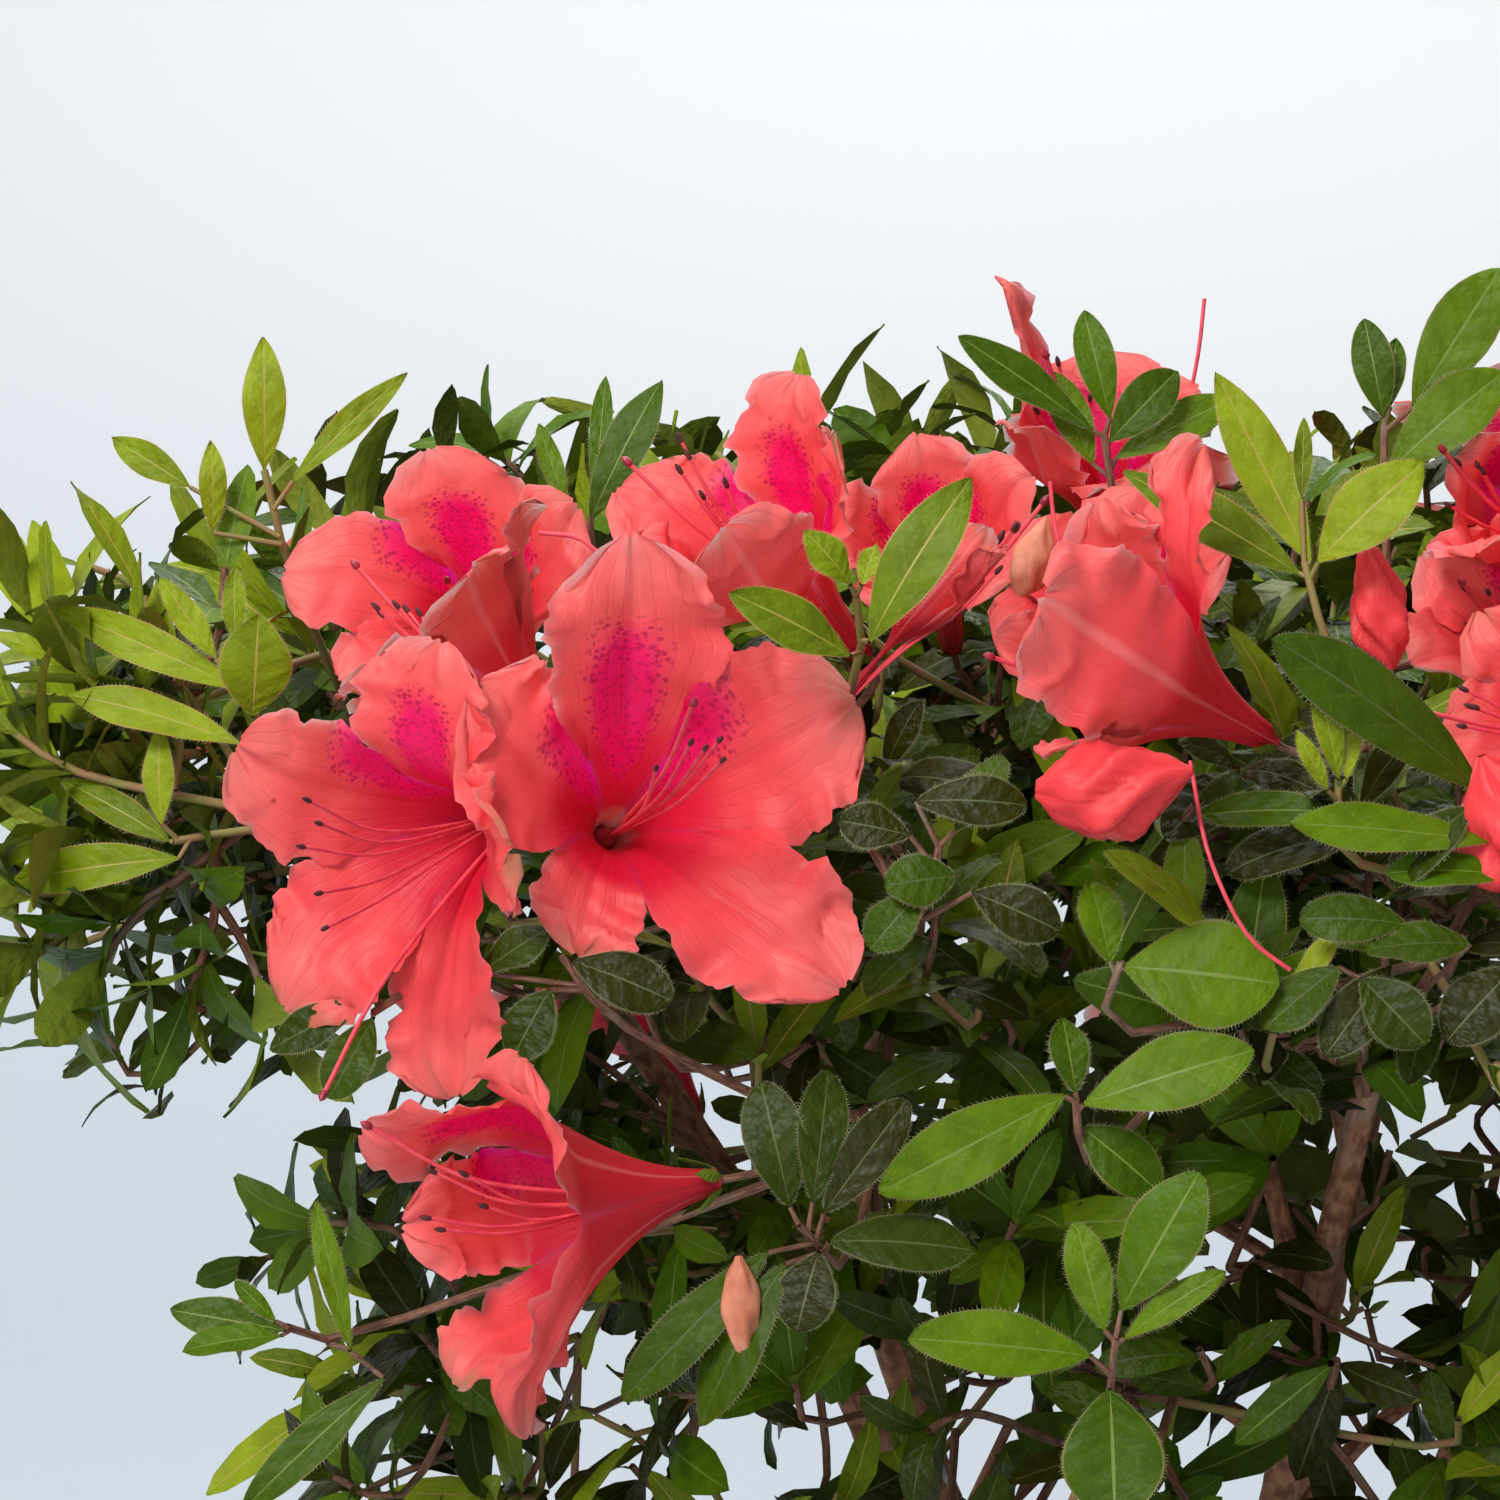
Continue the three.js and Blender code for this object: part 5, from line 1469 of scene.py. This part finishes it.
class Finish:
    """A node material, with short ways to add the nodes that it needs. In a socket's name _ is a space."""

    def __init__(self, name, roughness, **sockets):
        self.material = bpy.data.materials.new(name)
        self.material.use_nodes = True
        self.tree = self.material.node_tree
        self.body = self.tree.nodes["Principled BSDF"]
        self.body.inputs["Roughness"].default_value = roughness
        for socket, value in sockets.items():
            self.body.inputs[socket.replace("_", " ")].default_value = value

    def node(self, kind, **settings):
        made = self.tree.nodes.new(kind)
        for setting, value in settings.items():
            setattr(made, setting, value)
        return made

    def put(self, socket, value):
        if hasattr(value, "is_output"):
            self.tree.links.new(value, socket)
        else:
            socket.default_value = value

    def maths(self, operation, first, second=0.0):
        made = self.node("ShaderNodeMath", operation=operation)
        self.put(made.inputs[0], first)
        self.put(made.inputs[1], second)
        return made.outputs[0]

    def times(self, first, second):
        return self.maths("MULTIPLY", first, second)

    def plus(self, first, second):
        return self.maths("ADD", first, second)

    def minus(self, first, second):
        return self.maths("SUBTRACT", first, second)

    def mix(self, share, first, second):
        made = self.node("ShaderNodeMix", data_type="RGBA")
        self.put(made.inputs[0], share)
        self.put(made.inputs[6], first)
        self.put(made.inputs[7], second)
        return made.outputs[2]

    def ramp(self, value, low, high):
        made = self.node("ShaderNodeMapRange", interpolation_type="SMOOTHSTEP")
        self.put(made.inputs[0], value)
        made.inputs[1].default_value = low
        made.inputs[2].default_value = high
        return made.outputs[0]

    def coordinates(self, kind="Object"):
        return self.node("ShaderNodeTexCoord").outputs[kind]

    def stretched(self, vector, scale):
        made = self.node("ShaderNodeMapping")
        self.put(made.inputs["Vector"], vector)
        made.inputs["Scale"].default_value = scale
        return made.outputs[0]

    def noise(self, vector, scale, detail=3.0):
        made = self.node("ShaderNodeTexNoise")
        self.put(made.inputs["Vector"], vector)
        made.inputs["Scale"].default_value = scale
        made.inputs["Detail"].default_value = detail
        return made.outputs["Fac"]

    def cells(self, vector, scale):
        made = self.node("ShaderNodeTexVoronoi")
        self.put(made.inputs["Vector"], vector)
        made.inputs["Scale"].default_value = scale
        return made.outputs["Distance"]

    def mark(self, name):
        return self.node("ShaderNodeAttribute", attribute_name=name).outputs["Fac"]

    def split_uv(self):
        made = self.node("ShaderNodeSeparateXYZ")
        self.put(made.inputs[0], self.coordinates("UV"))
        return made.outputs[0], made.outputs[1]

    def colour(self, value):
        self.put(self.body.inputs["Base Color"], value)

    def relief(self, height, strength, distance):
        made = self.node("ShaderNodeBump")
        made.inputs["Strength"].default_value = strength
        made.inputs["Distance"].default_value = distance
        self.put(made.inputs["Height"], height)
        self.tree.links.new(made.outputs[0], self.body.inputs["Normal"])


def leaf_finish(name, base, vein, roughness):
    """A leaf face with a netted blade between paler side veins."""
    finish = Finish(name, roughness, Specular_IOR_Level=0.14)
    u, v = finish.split_uv()
    aside = finish.times(finish.maths("ABSOLUTE", finish.minus(u, 0.5)), 2.0)
    slanted = finish.minus(v, finish.times(aside, 0.14))
    folded = finish.maths("PINGPONG", finish.times(slanted, 7.0), 0.5)
    quilted = finish.ramp(folded, 0.0, 0.5)
    line = finish.times(finish.ramp(folded, 0.1, 0.0), finish.ramp(aside, 0.95, 0.5))
    spots = finish.noise(finish.coordinates(), 140.0)
    darker = tuple(value * 0.86 for value in base[:3]) + (1.0,)
    lighter = tuple(min(1, value * 1.14) for value in base[:3]) + (1.0,)
    blade = finish.mix(finish.ramp(spots, 0.3, 0.7), darker, lighter)
    blade = finish.mix(finish.times(line, 0.15), blade, vein)
    stipple = finish.ramp(finish.noise(finish.coordinates(), 1500.0, 1.0), 0.56, 0.72)
    finish.colour(finish.mix(finish.times(stipple, 0.22), blade, vein))
    net = finish.cells(finish.stretched(finish.coordinates("UV"), (8.0, 24.0, 1.0)), 1.0)
    height = finish.minus(finish.times(quilted, 0.7), finish.times(net, 0.8))
    finish.relief(height, 0.45, 0.0004)
    return finish.material


def petal_finish(side):
    """One side of a petal, with ribs and worn margins, and painted shade mixed into its deeper tone toward
    the funnel's foot. The inner side also has a flare of merging flecks.
    """
    deep_and_shade, middle, edge, flare, fleck = (tone(*row) for row in PETAL_TONES[side])
    finish = Finish(
        f"petal_{side}", 0.5, Specular_IOR_Level=0.3, Subsurface_Weight=0.34, Subsurface_Scale=0.006,
        Subsurface_Radius=(1.0, 0.26, 0.24))
    u, v = finish.split_uv()
    far = finish.mark("far")
    # Toward the funnel's foot the petal darkens: partly its own deeper tone, partly painted shade in the
    # throat.
    base = finish.mix(finish.ramp(far, 0.0, 0.35), deep_and_shade, middle)
    base = finish.mix(finish.ramp(far, 0.45, 1.0), base, edge)
    cloud = finish.noise(finish.coordinates(), 110.0)
    base = finish.mix(finish.times(finish.ramp(cloud, 0.35, 0.75), 0.3), base, deep_and_shade)
    ribs = finish.maths("PINGPONG", finish.times(u, 11.0), 0.5)
    rib = finish.ramp(ribs, 0.14, 0.0)
    base = finish.mix(finish.times(rib, 0.07), base, deep_and_shade)
    middle_line = finish.ramp(finish.maths("ABSOLUTE", finish.minus(u, 0.5)), 0.06, 0.0)
    if side == "outer":
        base = finish.mix(finish.times(middle_line, 0.3), base, tone(250, 146, 140))
    else:
        base = finish.mix(finish.times(middle_line, 0.22), base, deep_and_shade)
        base = finish.mix(finish.ramp(v, 0.2, 0.08), base, tone(246, 110, 112))
        blotch = finish.mark("blotch")
        base = finish.mix(finish.ramp(blotch, 0.05, 0.62), base, flare)
        dots = finish.cells(finish.stretched(finish.coordinates("UV"), (22.0, 62.0, 1.0)), 1.0)
        uneven = finish.plus(dots, finish.times(finish.noise(finish.coordinates(), 900.0), 0.34))
        flecks = finish.times(finish.ramp(uneven, 0.64, 0.42), finish.ramp(blotch, 0.04, 0.25))
        merging = finish.minus(0.85, finish.times(finish.ramp(blotch, 0.45, 0.9), 0.4))
        base = finish.mix(finish.times(flecks, merging), base, fleck)
    worn = finish.times(finish.mark("tan"), finish.ramp(cloud, 0.35, 0.6))
    base = finish.mix(worn, base, tone(176, 112, 70))
    finish.colour(base)
    crinkle = finish.noise(finish.coordinates(), 260.0)
    lines = finish.plus(finish.times(rib, 0.2), finish.times(middle_line, 0.5))
    finish.relief(finish.minus(crinkle, lines), 0.4, 0.0006)
    return finish.material


def plain_finish(name, first, second, roughness, scale=300.0, **sockets):
    """Two tones in soft clouds with a faint grain."""
    finish = Finish(name, roughness, **sockets)
    cloud = finish.noise(finish.coordinates(), scale)
    finish.colour(finish.mix(finish.ramp(cloud, 0.3, 0.7), first, second))
    finish.relief(cloud, 0.4, 0.0002)
    return finish.material


def bark_finish(name, dark, light, lichen, roughness=0.85):
    """Ridged bark: long dark furrows, paler plates, and a grey bloom in patches."""
    finish = Finish(name, roughness)
    long_grain = finish.stretched(finish.coordinates("UV"), (9.0, 26.0, 1.0))
    furrow = finish.noise(long_grain, 1.0, 6.0)
    patches = finish.noise(finish.coordinates(), 60.0)
    fine = finish.noise(finish.coordinates(), 700.0)
    base = finish.mix(finish.ramp(furrow, 0.35, 0.65), dark, light)
    base = finish.mix(finish.times(finish.ramp(patches, 0.52, 0.72), 0.6), base, lichen)
    finish.colour(base)
    finish.relief(finish.plus(furrow, finish.times(fine, 0.4)), 0.8, 0.0009)
    return finish.material


def pot_finish():
    """Matte moulded plastic with a fine grain, scuffs and dried dust."""
    finish = Finish("pot_plastic", 0.5, Specular_IOR_Level=0.45)
    dust = finish.noise(finish.coordinates(), 14.0, 6.0)
    scuff = finish.noise(finish.stretched(finish.coordinates(), (1.0, 1.0, 9.0)), 60.0, 5.0)
    grain = finish.noise(finish.coordinates(), 1400.0, 1.0)
    base = finish.mix(finish.ramp(dust, 0.5, 0.8), tone(47, 50, 52), tone(74, 73, 69))
    scuffed = finish.times(finish.ramp(scuff, 0.62, 0.7), 0.5)
    finish.colour(finish.mix(scuffed, base, tone(98, 98, 95)))
    rough = finish.plus(0.42, finish.times(dust, 0.3))
    finish.put(finish.body.inputs["Roughness"], rough)
    finish.relief(grain, 0.25, 0.0002)
    return finish.material


# Camera, light and backdrop

def place_camera():
    data = bpy.data.cameras.new("camera")
    data.sensor_width = SENSOR
    data.lens = SENSOR * VIEW_DISTANCE / IMAGE_WIDTH_AT_FOCUS
    data.clip_start, data.clip_end = 0.05, 30
    camera = bpy.data.objects.new("camera", data)
    camera.location = EYE * MM
    camera.rotation_euler = (math.pi / 2 - VIEW_TILT, 0, 0)
    bpy.context.collection.objects.link(camera)
    bpy.context.scene.camera = camera


def add_light(name, place, target, size, power, colour):
    data = bpy.data.lights.new(name, "AREA")
    data.shape, data.size, data.energy, data.color = "DISK", size, power, colour
    lamp = bpy.data.objects.new(name, data)
    lamp.location = place
    x, y, z = np.array(target) - np.array(place)
    lamp.rotation_euler = (math.atan2(math.hypot(x, y), -z), 0, math.atan2(y, x) - math.pi / 2)
    bpy.context.collection.objects.link(lamp)


def backdrop_finish():
    """Pale paper with painted shade: it falls off to a cooler grey toward the floor and the left."""
    finish = Finish("backdrop_paper", 0.95, Specular_IOR_Level=0.1)
    split = finish.node("ShaderNodeSeparateXYZ")
    finish.put(split.inputs[0], finish.coordinates())
    # Painted shade: the paper's colour darkens toward the floor and toward the left.
    height = finish.ramp(split.outputs[2], -0.05, 0.75)
    left = finish.ramp(split.outputs[0], 0.1, -0.9)
    shade = finish.mix(height, tone(176, 184, 192), tone(216, 218, 219))
    finish.colour(finish.mix(finish.times(left, 0.35), shade, tone(182, 190, 198)))
    return finish.material


def build_studio():
    world = bpy.data.worlds.new("studio")
    world.use_nodes = True
    sky = world.node_tree.nodes["Background"]
    sky.inputs[0].default_value = SKY["colour"]
    sky.inputs[1].default_value = SKY["strength"]
    bpy.context.scene.world = world
    for name, settings in LIGHTS.items():
        add_light(name, *settings)
    foot, radius = PAPER["bend_from"], PAPER["bend"]
    line = [(PAPER["near"], 0.0), (foot, 0.0)]
    line += [
        (foot + radius * math.sin(angle), radius - radius * math.cos(angle))
        for angle in np.linspace(0.1, math.pi / 2, 16)]
    line += [(foot + radius, PAPER["top"])]
    places = [(x, y, z) for y, z in line for x in (-PAPER["half"], PAPER["half"])]
    faces = [(2 * i, 2 * i + 1, 2 * i + 3, 2 * i + 2) for i in range(len(line) - 1)]
    mesh = bpy.data.meshes.new("backdrop")
    mesh.from_pydata(places, [], faces)
    mesh.shade_smooth()
    mesh.materials.append(backdrop_finish())
    paper = bpy.data.objects.new("backdrop", mesh)
    bpy.context.collection.objects.link(paper)
    bpy.context.scene.view_settings.view_transform = "Standard"


# Putting the plant together

def build_wood(plant):
    bark = bark_finish("bark", tone(122, 76, 54), tone(180, 126, 94), tone(172, 154, 132))
    piece = Piece("limbs_with_bark", [bark])
    for index, limb in enumerate(plant.limbs):
        sides, spacing = LIMB_MESH[limb.name.split("_")[0]]
        add_limb(piece, limb, sides, spacing, index + 3)
    piece.build("bark", [limb.name for limb in plant.limbs])


def build_twigs(plant):
    old = bark_finish("twig_bark", tone(104, 66, 50), tone(150, 108, 84), tone(150, 136, 118), 0.8)
    young = plain_finish("young_twig", tone(150, 110, 78), tone(128, 132, 62), 0.7, 200.0)
    piece = Piece("twigs", [old, young])
    for mass in plant.masses:
        for twig in mass.twigs:
            add_twig(piece, twig)
    piece.build("bark", [mass.name for mass in plant.masses])


def leaf_materials(kind):
    """The faces' tints, then the rib, margin and underside of the leaves of a kind."""
    tones = LEAF_TONES[kind]
    faces = [
        leaf_finish(f"leaf_{kind}_{i}", tone(*base), tone(*vein), roughness)
        for i, (base, vein, roughness) in enumerate(tones["faces"], 1)]
    rib, margin = (
        plain_finish(f"{part}_{kind}", tone(*tones[part][0]), tone(*tones[part][1]), roughness)
        for part, roughness in (("rib", 0.55), ("margin", 0.6)))
    base, vein, roughness = tones["under"]
    return [*faces, rib, margin, leaf_finish(f"under_{kind}", tone(*base), tone(*vein), roughness)]


def build_leaves(plant, materials):
    """A piece for each kind of leaf in front, in the crown and in the skirt, and one for the front hairs."""
    groups = {}
    for mass in plant.masses:
        part = "skirt" if mass.tier["name"] == "lower" else "crown"
        for shoot in mass.shoots:
            for leaf in shoot.leaves:
                groups.setdefault((leaf.kind, "front" if leaf.front else part), []).append(leaf)
        for bloom in mass.blooms:
            if bloom.grown:
                calyx = calyx_leaves(bloom, np.random.RandomState(17))
                groups.setdefault(("middle", part), []).extend(calyx)
    for (kind, part), leaves in sorted(groups.items()):
        piece = Piece(f"leaves_{kind}_{part}", materials[kind])
        tints = len(LEAF_TONES[kind]["faces"])
        add_leaves(piece, leaves, FINE_LEAF if part == "front" else PLAIN_LEAF, tints)
        piece.build("foliage")
        print(len(leaves), kind, "leaves")
    hair = plain_finish("leaf_hair", tone(206, 206, 160), tone(170, 174, 120), 0.6)
    hairs = Piece("leaf_hairs_front", [hair])
    for (kind, part), leaves in sorted(groups.items()):
        if part == "front":
            add_hairs(hairs, leaves, FINE_LEAF, np.random.RandomState(61))
    hairs.build("foliage")


def bloom_materials():
    """Those of the petals: inner, outer and faded, and those within: filament, anther and stigma."""
    inner, outer = petal_finish("inner"), petal_finish("outer")
    filament = plain_finish("filament", tone(238, 86, 96), tone(222, 60, 84), 0.5)
    faded = plain_finish(
        "petal_faded", tone(222, 146, 116), tone(184, 106, 76), 0.6, 160.0,
        Subsurface_Weight=0.3, Subsurface_Scale=0.003)
    anther = plain_finish("anther", tone(94, 38, 42), tone(58, 24, 30), 0.7, 900.0)
    stigma = plain_finish("stigma", tone(170, 40, 60), tone(132, 30, 52), 0.4)
    return [inner, outer, faded], [filament, anther, stigma]


def shown_lobes(rows, bloom, axes, chance):
    """The lobes of a front bloom, which part evenly round its axis and then reach their own tips."""
    opened = min(1, bloom.radius / 34)
    split = SHOWN_SPLITS.get(bloom.front, (FUNNEL["radius"] * opened, FUNNEL["height"]))
    tips = [axes @ (seen_at(*row[0]) - bloom.mouth) for row in rows]
    even = [math.radians(90 + 72 * i) for i in range(LOBES)]
    turned = sum(signed_angle(math.atan2(tip[1], tip[0]) - angle) for tip, angle in zip(tips, even)) / LOBES
    return [
        Lobe(tip, *row[1:], chance.uniform(0, 6.28), split, angle + turned)
        for tip, angle, row in zip(tips, even, rows)]


def seen_under_crown(bloom):
    """Whether the camera would see a far bloom through the open foot of the crown."""
    right, up, back = seen_as(bloom.mouth)
    low = up < FAR_BLOOMS_HIDDEN["below"] and back > FAR_BLOOMS_HIDDEN["behind"]
    return bloom.front is None and low and abs(right) < FAR_BLOOMS_HIDDEN["aside"]


def build_blooms(plant, petal_materials, inner_materials):
    """Petals and stamens in pieces for the crown and the front, with the buds and spent styles in front."""
    chance = np.random.RandomState(41)
    marks = ("blotch", "far", "tan")
    petals = Piece("petals_crown", petal_materials, marks)
    inner = Piece("stamens_crown", inner_materials)
    front = Piece("petals_front", petal_materials, marks)
    front_inner = Piece("stamens_front", inner_materials)
    for bloom in plant.blooms:
        if not bloom.grown or seen_under_crown(bloom):
            continue
        axes = bloom_axes(bloom.facing, chance.uniform(-0.4, 0.4) if bloom.front not in SHOWN_LOBES else 0)
        lobes = seeded_lobes(chance, bloom.radius, 0.85 if bloom.radius < NARROW_MOUTH else 0.0)
        stamens = seeded_stamens(chance, bloom.radius)
        if bloom.front in SHOWN_LOBES:
            lobes = shown_lobes(SHOWN_LOBES[bloom.front], bloom, axes, chance)
        if bloom.front in SHOWN_STAMENS:
            stamens = [axes @ (seen_at(*place) - bloom.mouth) for place in SHOWN_STAMENS[bloom.front]]
        if bloom.front is None:
            add_petals(petals, bloom, axes, lobes, *LOBE_MESH["seeded"])
            add_stamens(inner, bloom, axes, stamens)
        else:
            mesh = LOBE_MESH["nearest" if bloom.front in NEAREST_BLOOMS else "front"]
            add_petals(front, bloom, axes, lobes, *mesh, bloom.front not in HIDDEN_FLARES)
            add_stamens(front_inner, bloom, axes, stamens)
    for foot, tip, radius, slot, wind in BUDS:
        add_bud(front, seen_at(*foot), seen_at(*tip), radius, slot, wind, chance)
    for route in STYLES:
        path = smooth_path([seen_at(*place) for place in route], 14)
        add_tube(front_inner, path, np.full(14, SPENT_STYLE_RADIUS), 5, 0)
    for piece in (petals, inner, front, front_inner):
        piece.build("foliage")


place_camera()
build_studio()
masses = make_masses()
trunk = make_trunk()
main_boughs = make_main_boughs(trunk, masses)
side_boughs = make_side_boughs(main_boughs, masses)
plant = Plant(masses, [trunk, *main_boughs, *side_boughs])
place_blooms(PLACED_BLOOMS, plant, 0)
seed_blooms(plant, "blooms")
place_blooms(EXTRA_BLOOMS, plant, len(PLACED_BLOOMS))
seed_blooms(plant, "all_blooms")
keep_front_clear(plant)
for mass in masses:
    grow_stem(mass, plant)
sprig_chance = np.random.RandomState(23)
for kind, bud, stem, rows in SPRIGS:
    grow_sprig(kind, bud, stem, rows, plant, sprig_chance)
for kind, place, way in EDGE_SHOOTS + FAR_SHOOTS:
    grow_edge_shoot(kind, place, way, plant, sprig_chance)
for mass in masses:
    grow_mass(mass, plant)
build_pot(pot_finish())
build_mix(
    bark_finish("mix_peat", tone(44, 31, 24), tone(74, 53, 40), tone(60, 44, 34), 0.95),
    [plain_finish(f"mix_chip_{i}", tone(*first), tone(*second), 0.9, 240.0)
     for i, (first, second) in enumerate(MIX_CHIP_TONES)])
build_wood(plant)
build_twigs(plant)
build_leaves(plant, {kind: leaf_materials(kind) for kind in LEAF_TONES})
build_blooms(plant, *bloom_materials())
